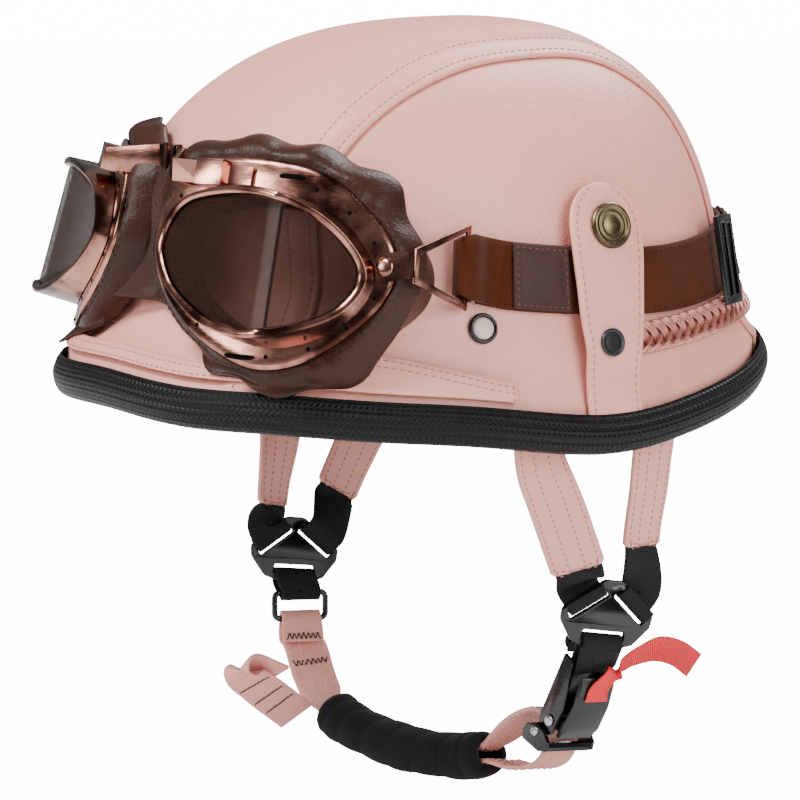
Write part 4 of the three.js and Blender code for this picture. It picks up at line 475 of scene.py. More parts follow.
def woven(name, colour, gap, roughness, along_mm, across_mm, slant, depth, **sockets):
    mat, tree, shader = material(name, colour, roughness, **sockets)
    weave = put(tree, "ShaderNodeGroup", node_tree=WEAVE)
    tree.links.new(measure_of(tree), weave.inputs["Measure"])
    for key, value in (("Along", along_mm), ("Across", across_mm), ("Slant", slant)):
        weave.inputs[key].default_value = value
    # Painted shade: the weave's gaps take the colour darkened by gap.
    shaded_gaps = mixed(tree, weave.outputs["Gap"], colour, tuple(c * gap for c in colour))
    tree.links.new(shaded_gaps, shader.inputs["Base Color"])
    bumped(tree, shader, weave.outputs["Height"], depth)
    return mat


def metal(name, colour, dark, roughness, depth=0.02, **sockets):
    mat, tree, shader = material(name, colour, roughness, Metallic=1.0, **sockets)
    wear_and_reflection = put(tree, "ShaderNodeGroup", node_tree=WEAR_AND_REFLECTION)
    tree.links.new(place_of(tree), wear_and_reflection.inputs["Place"])
    # The dark colour goes into the patches: partly patina, partly painted dark reflection.
    tree.links.new(mixed(tree, wear_and_reflection.outputs["Dark"], colour, dark), shader.inputs["Base Color"])
    rough = band(tree, wear_and_reflection.outputs["Streak"], 0.2, 0.8, roughness * 0.75, roughness * 1.3)
    tree.links.new(rough, shader.inputs["Roughness"])
    bumped(tree, shader, wear_and_reflection.outputs["Streak"], depth)
    return mat


# %% The helmet's own finishes
PINK = leather("pink leather", (0.80, 0.35, 0.285), 0.86, 0.42, 1300, 0.16, Specular_IOR_Level=0.4)
STRAP_PINK = leather("strap leather", (0.75, 0.32, 0.26), 0.88, 0.5, 1300, 0.06)
BROWN = leather("mask leather", (0.033, 0.0085, 0.0032), 0.5, 0.44, 900, 0.14, slow=30, crease=0.9,
                Specular_IOR_Level=0.22)
PATCH = leather("label leather", (0.044, 0.017, 0.014), 0.55, 0.65, 1100, 0.1, slow=60, crease=0.9,
                Specular_IOR_Level=0.25)
SUEDE = leather("suede elastic", (0.066, 0.0145, 0.0034), 0.45, 0.95, 2600, 0.09, slow=35, crease=1.2,
                Specular_IOR_Level=0.15, Sheen_Weight=0.12, Sheen_Roughness=0.4)
BRAID = leather("braided strands", (0.60, 0.235, 0.185), 0.55, 0.26, 1800, 0.03, slow=60,
                Metallic=0.5)
FOAM = leather("sleeve cloth", (0.007, 0.007, 0.008), 0.5, 0.95, 3000, 0.06, slow=50, crease=1.5,
               Specular_IOR_Level=0.2, Sheen_Weight=0.05, Sheen_Roughness=0.5)
LINING = leather("shell inside", (0.010, 0.010, 0.011), 0.7, 0.85, 900, 0.05)
TRIM = woven("rubber trim", (0.003, 0.003, 0.0035), 0.35, 0.42, 2.2, 1.8, 0.9, 0.4,
             Specular_IOR_Level=0.16)
WEBBING = woven("black webbing", (0.006, 0.006, 0.007), 0.4, 0.8, 0.9, 1.1, 0.5, 0.14,
                Specular_IOR_Level=0.25)
RIBBON = woven("red ribbon", (0.72, 0.006, 0.014), 0.45, 0.6, 1.0, 40.0, 0.0, 0.16)
# Each metal's second colour is partly patina and partly painted dark reflection.
COPPER = metal("antique copper", (0.46, 0.215, 0.16), (0.045, 0.016, 0.011), 0.19)
BRASS = metal("dark brass", (0.22, 0.165, 0.085), (0.06, 0.045, 0.025), 0.34)
STEEL = metal("bright steel", (0.62, 0.61, 0.60), (0.4, 0.4, 0.4), 0.22)
BLACK = metal("black coated steel", (0.022, 0.022, 0.026), (0.014, 0.014, 0.016), 0.26,
              Coat_Weight=0.6, Coat_Roughness=0.12)
PLASTIC = leather("black plastic", (0.005, 0.005, 0.006), 0.8, 0.3, 600, 0.01)
CREAM = leather("cream cap", (0.66, 0.52, 0.43), 0.8, 0.5, 2600, 0.08)
THREAD = material("pink thread", (0.74, 0.45, 0.40), 0.6)[0]
DARK_THREAD = material("black thread", (0.014, 0.013, 0.014), 0.7)[0]
ROSE_THREAD = material("seam thread", (0.42, 0.17, 0.15), 0.65)[0]
RUST_THREAD = material("label thread", (0.13, 0.026, 0.018), 0.6)[0]

# The panes hide more of what is behind them where they turn away from the eye.
LENS, tree, shader = material("smoky lens", (0.022, 0.011, 0.008), 0.04, IOR=1.5,
                              Specular_IOR_Level=0.05)
tilt = put(tree, "ShaderNodeLayerWeight", {"Blend": 0.5}).outputs["Facing"]
tree.links.new(maths(tree, "MULTIPLY_ADD", tilt, 0.62, 0.4), shader.inputs["Alpha"])

# Painted shade: the vent slots and holes are near-black pieces, not cut openings.
VENT_SHADE = material("painted vent shade", (0.002, 0.002, 0.002), 0.9, Specular_IOR_Level=0.05)[0]
print("Materials:", len(bpy.data.materials))


# %% Dressing helpers: a material on a piece, and a finer copy of a rigid CAD node
def dress(obj, mat, *replaced, body="helmet", crisp=None):
    obj.data.materials.clear()
    obj.data.materials.append(mat)
    if crisp:
        obj.data.set_sharp_from_angle(angle=math.radians(crisp))
    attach(obj, body)
    if replaced:
        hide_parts(*replaced)
    return obj


def refined(name, mat, width, body="helmet", segments=3, angle=28):
    """A merged copy of a CAD node with its hard edges rounded off."""
    source = nodes[name]
    obj = bpy.data.objects.new(f"{name}_finished", source.data.copy())
    obj.data.transform(source.matrix_world)
    scene.collection.objects.link(obj)
    for kind, settings in (
        ("WELD", {"merge_threshold": 1e-5}),
        ("BEVEL", {"width": width * MM, "segments": segments, "angle_limit": math.radians(angle),
                   "harden_normals": True, "use_clamp_overlap": True}),
    ):
        modifier = obj.modifiers.new(kind.lower(), kind)
        for key, value in settings.items():
            setattr(modifier, key, value)
    obj.data.polygons.foreach_set("use_smooth", [True] * len(obj.data.polygons))
    baked = bpy.data.meshes.new_from_object(obj.evaluated_get(bpy.context.evaluated_depsgraph_get()))
    obj.modifiers.clear()
    obj.data = baked
    return dress(obj, mat, name, body=body)


print("Dressing helpers ready")

# %% [markdown]
# ## Stitches as one node tree
# Hundreds of stitches follow the seams. Each row is only a line with a facing direction at its
# points; Geometry Nodes walk it at the thread's pitch, set a small bead on every step, and realize
# them. A painted dash would vanish at the edge of a seam, while real beads catch the light.


# %% What both growing trees share: lines are resampled, and the result is smooth with one material
def growing_tree(name, sizes, pitch, finish, result):
    tree = bpy.data.node_groups.new(name, "GeometryNodeTree")
    face = tree.interface
    face.new_socket(name="Lines", in_out="INPUT", socket_type="NodeSocketGeometry")
    for label, value in sizes:
        socket = face.new_socket(name=label, in_out="INPUT", socket_type="NodeSocketFloat")
        socket.default_value = value
    face.new_socket(name=finish, in_out="INPUT", socket_type="NodeSocketMaterial")
    face.new_socket(name=result, in_out="OUTPUT", socket_type="NodeSocketGeometry")
    into = tree.nodes.new("NodeGroupInput").outputs
    lines = put(tree, "GeometryNodeMeshToCurve", {"Mesh": into["Lines"]})
    steps = put(tree, "GeometryNodeResampleCurve", {
        "Curve": lines.outputs["Curve"], "Length": into[pitch],
    }, mode="LENGTH")
    return tree, into, steps.outputs["Curve"]


def finish_tree(tree, geometry, finish):
    real = put(tree, "GeometryNodeRealizeInstances", {"Geometry": geometry})
    soft = put(tree, "GeometryNodeSetShadeSmooth", {"Geometry": real.outputs["Geometry"]})
    done = put(tree, "GeometryNodeSetMaterial", {
        "Geometry": soft.outputs["Geometry"], "Material": finish,
    })
    tree.links.new(done.outputs["Geometry"], tree.nodes.new("NodeGroupOutput").inputs[0])
    return tree


# %% The stitch tree, with its sizes as named inputs
def stitch_tree():
    sizes = (("Pitch", 0.0029), ("Length", 0.0011), ("Thickness", 0.0003))
    tree, into, steps = growing_tree("stitch rows", sizes, "Pitch", "Thread", "Stitches")
    bead = put(tree, "GeometryNodeMeshUVSphere", {"Segments": 6, "Rings": 4, "Radius": 1.0})
    size = put(tree, "ShaderNodeCombineXYZ", {
        "X": into["Length"], "Y": into["Thickness"], "Z": into["Thickness"],
    })
    shaped = put(tree, "GeometryNodeTransform", {
        "Geometry": bead.outputs["Mesh"], "Scale": size.outputs["Vector"],
    })
    facing = put(tree, "GeometryNodeInputNamedAttribute", {"Name": "facing"},
                 data_type="FLOAT_VECTOR")
    tangent = put(tree, "GeometryNodeInputTangent")
    turn = put(tree, "FunctionNodeAxesToRotation", {
        0: tangent.outputs[0], 1: facing.outputs[0],
    }, primary_axis="X", secondary_axis="Z")
    placed = put(tree, "GeometryNodeInstanceOnPoints", {
        "Points": steps, "Instance": shaped.outputs["Geometry"], "Rotation": turn.outputs[0],
    })
    return finish_tree(tree, placed.outputs["Instances"], into["Thread"])


# %% Rows of stitches, and growing them
STITCHES = stitch_tree()
ROWS = {}


def stitch(kind, points, facing, lift=0.12):
    """Notes a row of stitches: its line in millimetres and the way its surface faces."""
    facing = np.broadcast_to(np.asarray(facing, float), np.shape(points))
    ROWS.setdefault(kind, []).append((np.asarray(points) + facing * lift, facing))


def grown(source, tree, values, name, body="helmet"):
    """Runs a node tree on an object once and keeps the result as a plain mesh."""
    modifier = source.modifiers.new("grow", "NODES")
    modifier.node_group = tree
    sockets = {s.name: s.identifier for s in tree.interface.items_tree if s.in_out == "INPUT"}
    for label, value in values.items():
        modifier[sockets[label]] = value
    graph = bpy.context.evaluated_depsgraph_get()
    mesh = bpy.data.meshes.new_from_object(source.evaluated_get(graph))
    source.modifiers.clear()
    bpy.data.objects.remove(source)
    obj = bpy.data.objects.new(name, mesh)
    scene.collection.objects.link(obj)
    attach(obj, body)
    print(name, len(mesh.polygons), "faces")
    return obj


def line_object(rows):
    """Rows of points in millimetres as one object of edges, with the way each point faces."""
    points, edges, facing = [], [], []
    for line, way in rows:
        first = len(points)
        points += (line * MM).tolist()
        facing += way.tolist()
        edges += [(first + i, first + i + 1) for i in range(len(line) - 1)]
    mesh = bpy.data.meshes.new("lines")
    mesh.from_pydata(points, edges, [])
    ways = mesh.attributes.new("facing", "FLOAT_VECTOR", "POINT")
    ways.data.foreach_set("vector", np.ravel(facing))
    obj = bpy.data.objects.new("lines", mesh)
    scene.collection.objects.link(obj)
    return obj


print("Stitch tree with", len(STITCHES.nodes), "nodes")

# %% [markdown]
# ## The cover: three panels that lap at the seams
# The centre panel runs from brow to nape over the side panels. The step of the lap is what makes a
# leather cover look sewn, so its edge is rolled down, the strip between its two rows is puffed, and
# each row lies in a shallow groove.

# %% Lines over the crown
CORE = np.array([0, SETBACK, 12.0])


def seam_half(p):
    height = np.clip(p[..., 2] / CROWN_HEIGHT, 0, 1)
    back = smooth((p[..., 1] - SETBACK + 60) / 120)
    return SEAM_HALF * (along(SEAM, 1, height) * (1 - back) + along(SEAM, 2, height) * back)


def over_crown(side, share, inset, climb):
    share, inset, climb = np.broadcast_arrays(np.asarray(share, float), inset, climb)
    x = np.full(share.shape, float(SEAM_HALF))
    for _ in range(8):
        way = stack(0 * climb, -np.cos(climb), np.sin(climb))
        p = reach_from(stack(side * x, 0 * x + SETBACK, 0 * x + CORE[2]), way)
        x = share * (seam_half(p) - inset)
    return p


def rim_climb(side, share, inset, back, depth):
    """The climb at which lines over the crown reach the rim, or a depth below it."""

    def below(climb):
        p = over_crown(side, share, inset, np.pi - climb if back else climb)
        return p[:, 2] <= rim_height(turn_of(p)) - depth

    low = halved(-0.5, 1, len(share), below, 16)
    return np.pi - low if back else low


def over_lines(side, lines, count, feet=True):
    """Rows of points along lines of (share, inset), with a foot below the rim at both ends."""
    share, inset = (np.array([row[k] for row in lines], float) for k in (0, 1))
    ends = [rim_climb(side, share, inset, back, 0) for back in (False, True)]
    t = np.linspace(0, 1, count + 1)
    t = t - 0.04 * np.sin(2 * np.pi * t)
    climbs = ends[0] + (ends[1] - ends[0]) * t[:, None]
    if feet:
        feet = [rim_climb(side, share, inset, back, EDGE_DEPTH) for back in (False, True)]
        climbs = np.concatenate([feet[0][None], climbs, feet[1][None]])
    return over_crown(side, share, inset, climbs)


print("Seam at the top, mm:", over_crown(LEFT, 1.0, 0.0, np.pi / 2).round(1))

# %% Centre panel
RAISED = LAP + LEATHER
SEWN = (2.2, 8.3)
edge_lines = [
    (1, 0.0, RAISED - 0.7), (1, 0.5, RAISED - 0.1), (1, 1.3, RAISED), (1, 2.2, RAISED - 0.4),
    (1, 3.2, RAISED + 0.1), (1, 5.2, RAISED + 0.35), (1, 7.3, RAISED + 0.1), (1, 8.3, RAISED - 0.35),
    (1, 9.4, RAISED - 0.2), (1, 11.5, 0.75), (1, 13.5, 0.2),
]
open_lines = [(share, 13.5, 0.0) for share in (0.93, 0.84, 0.74, 0.63, 0.52, 0.41, 0.3, 0.19, 0.09)]
grids, offs = [], []
for side in (LEFT, RIGHT):
    rows = edge_lines + open_lines
    grid = over_lines(side, rows, 96)
    grids.append(grid if side == LEFT else grid[:, ::-1])
    offs.append([row[2] for row in (rows if side == LEFT else rows[::-1])])
middle = over_lines(LEFT, [(0, 0)], 96)
grid = np.concatenate([grids[0], middle, grids[1]], axis=1)
off = np.array(offs[0] + [0.0] + offs[1])
normal = normal_at(grid)
dress(plate("centre_panel_leather", grid + normal * off[:, None],
            grid + normal * (np.minimum(off, RAISED - 0.1) - LEATHER)[:, None]), PINK, "centre_panel")
for side in (LEFT, RIGHT):
    for row in SEWN:
        line = over_lines(side, [(1, row)], 120, feet=False)[:, 0]
        stitch("seam thread", lifted(line, RAISED - 0.4), normal_at(line), 0.14)
print("Centre panel", grid.shape)


# %% Side panels, from under the lap down to the rim
def rim_point(turn, depth=0.0):
    return crown_at(turn, rim_height(turn) - depth)


for name, side in SIDES:
    count = 72
    hidden, line = (over_lines(side, [(1, inset)], count)[:, 0] for inset in (7.6, -1.5))
    top = line[1:-1]
    first, last = turn_of(line[0]), turn_of(line[-1])
    last += 360 * (side * last < side * first) * side
    turns = np.linspace(first, last, count + 1)
    foot, edge = rim_point(turns), rim_point(turns, EDGE_DEPTH)
    down = np.linspace(0, 1, 30)[:, None, None]
    way = unit(top - CORE) * (1 - down) + unit(foot - CORE) * down
    grid = np.concatenate([hidden[None, 1:-1], reach_from(CORE, unit(way)), edge[None]])
    normal = normal_at(grid)
    panel = plate(f"side_panel_{name}_leather", grid, grid - LEATHER * normal)
    dress(panel, PINK, f"side_panel_{name}")
print("Side panels", grid.shape)

# %% Visor strip over the brow, sewn along its top and ends
VISOR_TURN, VISOR_RISE, VISOR_GAP = 69, 14, 0.6


def visor_rise(turn):
    bend = np.abs(turn)
    beside = 0.36 + 0.64 * smooth((bend - 27) / 7)
    return VISOR_RISE * beside * (1 - 0.45 * smooth((bend - 42) / 27))


turns = np.linspace(-VISOR_TURN, VISOR_TURN, 150)
ups = np.array([0, 0.12, 0.35, 0.6, 0.85, 0.96, 1])
z = rim_height(turns) + VISOR_GAP + visor_rise(turns) * ups[:, None]
lift = np.array([0, 0.1, 0.25, 0.3, 0.15, 0, -0.6])[:, None] * np.ones(len(turns))
lift[:, [0, -1]] -= 0.4
base = LEATHER + 3 * LAP
dress(plate("visor_panel_leather", crown_at(turns + 0 * z, z, base + LEATHER + lift - 0.2),
            crown_at(turns + 0 * z, z, base)), PINK, "visor_panel")
for drop in (2.2, 4.6):
    turns = np.linspace(-VISOR_TURN + 1.2, VISOR_TURN - 1.2, 160)
    z = rim_height(turns) + VISOR_GAP + visor_rise(turns) - drop
    line = crown_at(turns, z, base + LEATHER)
    stitch("seam thread", line, normal_at(line))
for side in (LEFT, RIGHT):
    z = rim_height(VISOR_TURN) + np.linspace(1.4, VISOR_GAP + visor_rise(VISOR_TURN) - 2.2, 8)
    line = crown_at(side * (VISOR_TURN - 1.2) + 0 * z, z, base + LEATHER)
    stitch("seam thread", line, normal_at(line))
print("Visor strip done")

# %% [markdown]
# ## Shell and edge trim
# The hard shell shows only from below, as a dark hollow. The trim is a rubber channel pressed over
# the rim: one profile carried round it, so the herringbone of its tread can follow its length.

# %% Shell
turns = np.linspace(0, 360, 144, endpoint=False)
rows = [rim_point(turns, EDGE_DEPTH)]
edge = rim_point(turns) - CORE
low = np.arctan2(edge[:, 2], np.hypot(edge[:, 0], edge[:, 1]))
flat = unit(edge * (1, 1, 0))
for t in np.linspace(0, 0.995, 30):
    climb = low + (np.pi / 2 - low) * (0.6 * t + 0.4 * t * t)
    way = flat * np.cos(climb)[:, None] + np.outer(np.sin(climb), (0, 0, 1))
    rows.append(reach_from(CORE, way))
grid = np.array(rows)
normal = normal_at(grid)
depth = LEATHER + SHELL_GAP
sides = [grid - normal * depth, grid - normal * (depth + SHELL_WALL)]
points = np.concatenate([s.reshape(-1, 3) for s in sides])
shell = plate("shell_inside", *sides, wrap=True)

# The small hole that the plate leaves at the top is closed in each layer, and its wall is taken out.
layer = grid.shape[0] * grid.shape[1]
hole_out = set(range(layer - grid.shape[1], layer))
hole_in = {i + layer for i in hole_out}
faces = [list(p.vertices) for p in shell.data.polygons]
faces = [f for f in faces if not (hole_out.intersection(f) and hole_in.intersection(f))]
faces += [sorted(hole_out), sorted(hole_in, reverse=True)]
bpy.data.objects.remove(shell)
shell = new_object("shell_inside", points, faces)
dress(shell, LINING, "shell")
print("Shell", len(shell.data.polygons), "faces")

# %% Edge trim
TRIM_HEIGHT, TRIM_BULGE, TRIM_GRIP, TRIM_WALL = 16, 6.6, 9.6, 2.1
lap, wall_in = 3.0, -(LEATHER + SHELL_GAP + SHELL_WALL) - 0.8  # how far the trim reaches out and in
outside = [
    (lap, 0), (lap + 0.62 * (TRIM_BULGE - lap), -0.2 * TRIM_HEIGHT),
    (TRIM_BULGE, -0.55 * TRIM_HEIGHT), (0.55 * TRIM_BULGE, -0.97 * TRIM_HEIGHT),
    (-0.55 * TRIM_GRIP, -TRIM_HEIGHT),
    (wall_in - TRIM_WALL, -0.7 * TRIM_HEIGHT), (wall_in - TRIM_WALL, -0.28 * TRIM_HEIGHT),
]
profile = spline([(*p, 0) for p in outside], 34)[:, :2]
floor = -EDGE_DEPTH - 0.8
grip = [(wall_in, -0.25 * TRIM_HEIGHT), (wall_in, floor)]
profile = np.r_[[(lap, floor), (lap, -0.6)], profile[1:], grip]
turns = np.linspace(0, 360, 220, endpoint=False)
rim = rim_height(turns)
root = reach_from(stack(0 * rim, 0 * rim + SETBACK, rim - EDGE_DEPTH / 2), out_at(turns))
sections = root[:, None] * (1, 1, 0) + out_at(turns)[:, None] * profile[:, :1]
sections = sections + np.array([0, 0, 1]) * (rim[:, None, None] + profile[:, 1:])
dress(swept("edge_trim_rubber", sections, closed=True), TRIM, "edge_trim", crisp=50)
print("Trim", sections.shape)

# %% [markdown]
# ## Elastic band, braid and tabs
# The goggles hang on a wide brown elastic that runs round the back, under a leather tab on each side.
# Below it lies a flat braid. The band is a rounded strap on the crown; the braid is five strands of
# three cords, which swing across its width in turn. A node tree turns their lines into soft tubes.


# %% Where band and braid run
BAND_Z, BAND_WIDTH, BAND_WALL, TAIL_WIDTH, BAND_SEW = 58, 25.5, 2.0, 24.5, 11.2
BRAID_Z = 35
LAP_TURN, LAP_SPAN = 112, 14


def band_height(turn):
    return BAND_Z * along(BAND_LINE, 1, fold(turn))


def braid_height(turn):
    return BRAID_Z * along(BRAID_LINE, 1, fold(turn))


def under_band(turn):
    """The band's lift, which grows where it climbs on to the centre panel."""
    return 2 * LAP + (LEATHER + LAP) * smooth((fold(turn) - LAP_TURN) / LAP_SPAN)


def over_band(turn, gap=LAP):
    return under_band(turn) + BAND_WALL + gap


print("Band height at front, side and back:", band_height([0, 90, 180]).round(1))

# %% Straps that lie on the crown
BULLNOSE = np.array([
    (-1, 0.28), (-1, 0.72), (-0.975, 0.95), (-0.8, 1), (0, 1.0), (0.8, 1), (0.975, 0.95), (1, 0.72),
    (1, 0.28), (0.975, 0.03), (0.8, 0), (0, 0), (-0.8, 0), (-0.975, 0.03),
])


def on_crown(name, start, end, step, height, width, low, wall, swell=0.0):
    turns = np.linspace(start, end, max(int(abs(end - start) / step), 4))
    ends = smooth(np.minimum(turns - turns[0], turns[-1] - turns) / 1.2)
    across, up = BULLNOSE[:, 0], BULLNOSE[:, 1]
    z = height(turns)[:, None] + across * width / 2
    lift = low(turns)[:, None] + up * wall + swell * np.sin(turns * 1.7)[:, None] * (up > 0.5)
    lift = lift - (up > 0.5) * (1 - ends)[:, None] * 0.3
    return swept(name, crown_at(turns[:, None] + 0 * z, z, lift))


band_strap = on_crown("elastic_band_suede", 61, 299, 1.2, band_height, BAND_WIDTH, under_band,
                      BAND_WALL)
dress(band_strap, SUEDE, "elastic_band", crisp=60)
tail = on_crown("band_tail_suede", 134.5, 152, 0.9, band_height, TAIL_WIDTH,
                lambda t: over_band(t, 0.8), BAND_WALL, 0.35)
dress(tail, SUEDE, "band_tail", crisp=60)
for name, side in SIDES:
    for edge in (-1, 1):
        turns = side * np.linspace(63, 178, 160)
        line = crown_at(turns, band_height(turns) + edge * BAND_SEW, over_band(turns, 0))
        stitch("band thread", line, normal_at(line), 0.02)
print("Band and tail done")

# %% Label: a bare leather patch with a pressed border, sewn on the left of the band
LABEL_TURN, LABEL_LENGTH, LABEL_WALL, LABEL_SEW = 68.5, 25, 1.0, 10.6
span = math.degrees(LABEL_LENGTH / (HALF_WIDTH + 3.5))
shares = np.array([0, 0.02, 0.06, 0.1, 0.13, 0.16, 0.3, 0.5, 0.7, 0.84, 0.87, 0.9, 0.94, 0.98, 1])
dent = np.array([-0.45, 0, 0, -0.28, -0.28, 0, 0.1, 0.12, 0.1, 0, -0.28, -0.28, 0, 0, -0.45])
shape = np.minimum(dent[:, None], dent[None, :])
turns = LABEL_TURN + span * shares
z = band_height(turns)[None, :] + (shares[:, None] - 0.5) * TAIL_WIDTH
foot = over_band(turns)[None, :]
dress(plate("label_patch", crown_at(turns + 0 * z, z, foot + LABEL_WALL + shape),
            crown_at(turns + 0 * z, z, foot + 0 * z)), PATCH, "band_label")
for edge in (-1, 1):
    turns = LABEL_TURN + span * np.linspace(0.07, 0.93, 20)
    line = crown_at(turns, band_height(turns) + edge * LABEL_SEW, over_band(turns) + LABEL_WALL)
    stitch("label thread", line, normal_at(line))
    z = band_height(LABEL_TURN) + np.linspace(-LABEL_SEW, LABEL_SEW, 20)
    turn = LABEL_TURN + span * (0.5 + 0.43 * edge)
    line = crown_at(turn + 0 * z, z, over_band(LABEL_TURN) + LABEL_WALL)
    stitch("label thread", line, normal_at(line))
print("Label", shape.shape)


# %% The strand tree: a line becomes a soft tube
def strand_tree():
    sizes = (("Radius", 0.0016), ("Step", 0.0012))
    tree, into, steps = growing_tree("braid strands", sizes, "Step", "Finish", "Strands")
    circle = put(tree, "GeometryNodeCurvePrimitiveCircle", {
        "Resolution": 8, "Radius": into["Radius"],
    })
    tube = put(tree, "GeometryNodeCurveToMesh", {
        "Curve": steps, "Profile Curve": circle.outputs["Curve"], "Fill Caps": True,
    })
    return finish_tree(tree, tube.outputs["Mesh"], into["Finish"])


# %% Braid: five strands of three cords each, which swing across and climb over each other
STRANDS = strand_tree()
BRAID_START, BRAID_RADIUS, BRAID_PERIOD, BRAID_SWING, CORD_GAP = 97, 112, 27, 4.9, 1.15
turns = np.linspace(BRAID_START, 360 - BRAID_START, 1500)
run = np.radians(turns - BRAID_START) * BRAID_RADIUS
rows = []
for strand in range(5):
    for cord in (-CORD_GAP, 0, CORD_GAP):
        phase = 2 * np.pi * ((run - cord * 0.75) / BRAID_PERIOD + strand / 5)
        across = BRAID_SWING * np.sin(phase) + cord * 0.55
        climb = 2.2 - 1.15 * np.sin(2 * phase) - 0.15 * abs(cord)
        line = crown_at(turns, braid_height(turns) + across, under_band(turns) + climb)
        rows.append((line, normal_at(line)))
sizes = {"Radius": 0.00072, "Step": 0.0011, "Finish": BRAID}
braid = grown(line_object(rows), STRANDS, sizes, "braid_strands")
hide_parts("braided_cord")


# %% [markdown]
# ## Tabs and their fasteners
# Each tab is one strip of leather that rises over the band and is sewn down at the rim. It is a plate
# lifted off the crown by a table, with its cut edge rounded. Fasteners are lathed from profiles.

# %% Tab rows: drop, half width and lift, as the CAD piece has them
TAB_LENGTH, TAB_HALF, TAB_WALL, TAB_Y = 84, 16.3, 1.6, 22.4
TAB = np.array([
    (0, 0.2, 2.2), (0.025, 0.5, 2.3), (0.075, 0.78, 2.5), (0.15, 0.96, 2.75), (0.27, 1, 2.95),
    (0.45, 0.94, 3), (0.62, 0.88, 3), (0.74, 0.8, 2.9), (0.86, 0.775, 1.6), (1, 0.77, 0.8),
])


def tab_half(drop):
    """Half width: a round top, then the long taper."""
    head = np.sqrt(np.clip(1 - ((0.2 - drop) / 0.2) ** 2, 0, 1))
    return TAB_HALF * np.where(drop < 0.2, np.maximum(head, 0.05), along(TAB, 1, drop))


def tab_lift(drop):
    return BAND_WALL * along(TAB, 2, drop)


def tab_top(side):
    foot = rim_height(turn_of(side_at(side, TAB_Y, 0.0))) + 0.8
    return foot + TAB_LENGTH


for name, side in SIDES:
    top = tab_top(side)
    drop = np.r_[0, 0.004, 0.012, 0.025, 0.045, np.linspace(0.07, 0.97, 40), 1, 1.02, 1.04]
    half = np.array([-1, -0.985, -0.93, -0.86, -0.78, -0.6, -0.3])
    across = np.r_[half, 0, -half[::-1]]
    edge = np.array([-0.7, -0.25, 0, -0.12, 0.05, 0.1, 0.12])
    roll = np.r_[edge, 0.12, edge[::-1]]
    y = TAB_Y + tab_half(drop)[:, None] * across
    z = top - TAB_LENGTH * drop[:, None] + 0 * y
    lift = tab_lift(drop)[:, None] + 0 * y
    ends = np.minimum(np.minimum(drop / 0.012, (1.04 - drop) / 0.01), 1)[:, None]
    outer = side_at(side, y, z, lift + TAB_WALL + roll - 0.5 * (1 - ends))
    tab = plate(f"strap_tab_{name}_leather", outer, side_at(side, y, z, lift))
    dress(tab, PINK, f"strap_tab_{name}")
    drop = np.linspace(0.03, 1.03, 90)
    for edge in (-1, 1):
        y = TAB_Y + edge * (tab_half(drop) - 2.6)
        keep = tab_half(drop) > 6
        line = side_at(side, y, top - TAB_LENGTH * drop, tab_lift(drop) + TAB_WALL)[keep]
        stitch("seam thread", line, normal_at(line), 0.05)


# %% Profiles of the snap with its plain rings, the rivet and the side stud: share of radius, height
SNAP = [
    (0, 0), (0.92, 0), (1, 0.5), (1, 1.1), (0.95, 1.8), (0.86, 2.2), (0.8, 2.15), (0.74, 1.6),
    (0.66, 1.5), (0.6, 1.75), (0.54, 1.75), (0.48, 1.45), (0.36, 1.5), (0.2, 1.75), (0.05, 1.85),
    (0, 1.85),
]
RIVET = [
    (0, 0), (0.96, 0), (1, 0.4), (0.98, 0.9), (0.9, 1.15), (0.83, 1.1), (0.78, 0.9), (0.4, 0.95),
    (0, 0.95),
]
STUD_RING = [
    (0.72, 0), (1.0, 0), (1.02, 0.7), (0.98, 1.5), (0.88, 1.95), (0.8, 1.75), (0.74, 1.2),
    (0.72, 0.8),
]
STUD_CAP = [(0, 0.2), (0.7, 0.2), (0.74, 0.9), (0.68, 1.5), (0.5, 1.95), (0.2, 2.15), (0, 2.2)]
SNAP_RADIUS, RIVET_RADIUS, STUD_RADIUS, STUD_Y, STUD_Z = 9, 5.5, 5.8, -31.4, 41.5


def fastener(name, base, normal, radius, profile, mat, *replaced):
    line = [(r * radius, h) for r, h in profile]
    return dress(turned(name, line, base, normal), mat, *replaced, crisp=50)


# %% Fasteners in their places
snap_z = band_height(97) + 0.8 * BAND_WIDTH
for name, side in SIDES:
    for kind, y, z, radius, profile, mat in (
        ("snap_cap", TAB_Y + 1.2, snap_z, SNAP_RADIUS, SNAP, BRASS),
        ("tab_rivet", TAB_Y - 2, 34.0, RIVET_RADIUS, RIVET, PLASTIC),
    ):
        seat = side_at(side, y, z)
        drop = np.clip((tab_top(side) - z) / TAB_LENGTH, 0, 1)
        normal = normal_at(seat)
        seat = seat + normal * (tab_lift(drop) + TAB_WALL + 0.3)
        fastener(f"{kind}_{name}_metal", seat, normal, radius, profile, mat, f"{kind}_{name}")
    seat = side_at(side, STUD_Y, STUD_Z)
    normal = normal_at(seat)
    seat, stud = seat + normal * 0.4, f"side_stud_{name}"
    fastener(f"{stud}_ring", seat, normal, STUD_RADIUS, STUD_RING, BLACK)
    fastener(f"{stud}_cap", seat, normal, STUD_RADIUS, STUD_CAP, CREAM, stud)
refined("band_slider", BLACK, 0.3)
print("Tabs and fasteners done")

# %% [markdown]
# ## Goggles
# Each eye has its own frame of across, up and out, mirrored about the bridge. On the real goggles a
# pressed copper flange holds a tall bezel, and two panes meet at a ridge. All of them are rings round
# the same two outlines, so they are swept; the ridge is only the height of the lens over the flange.

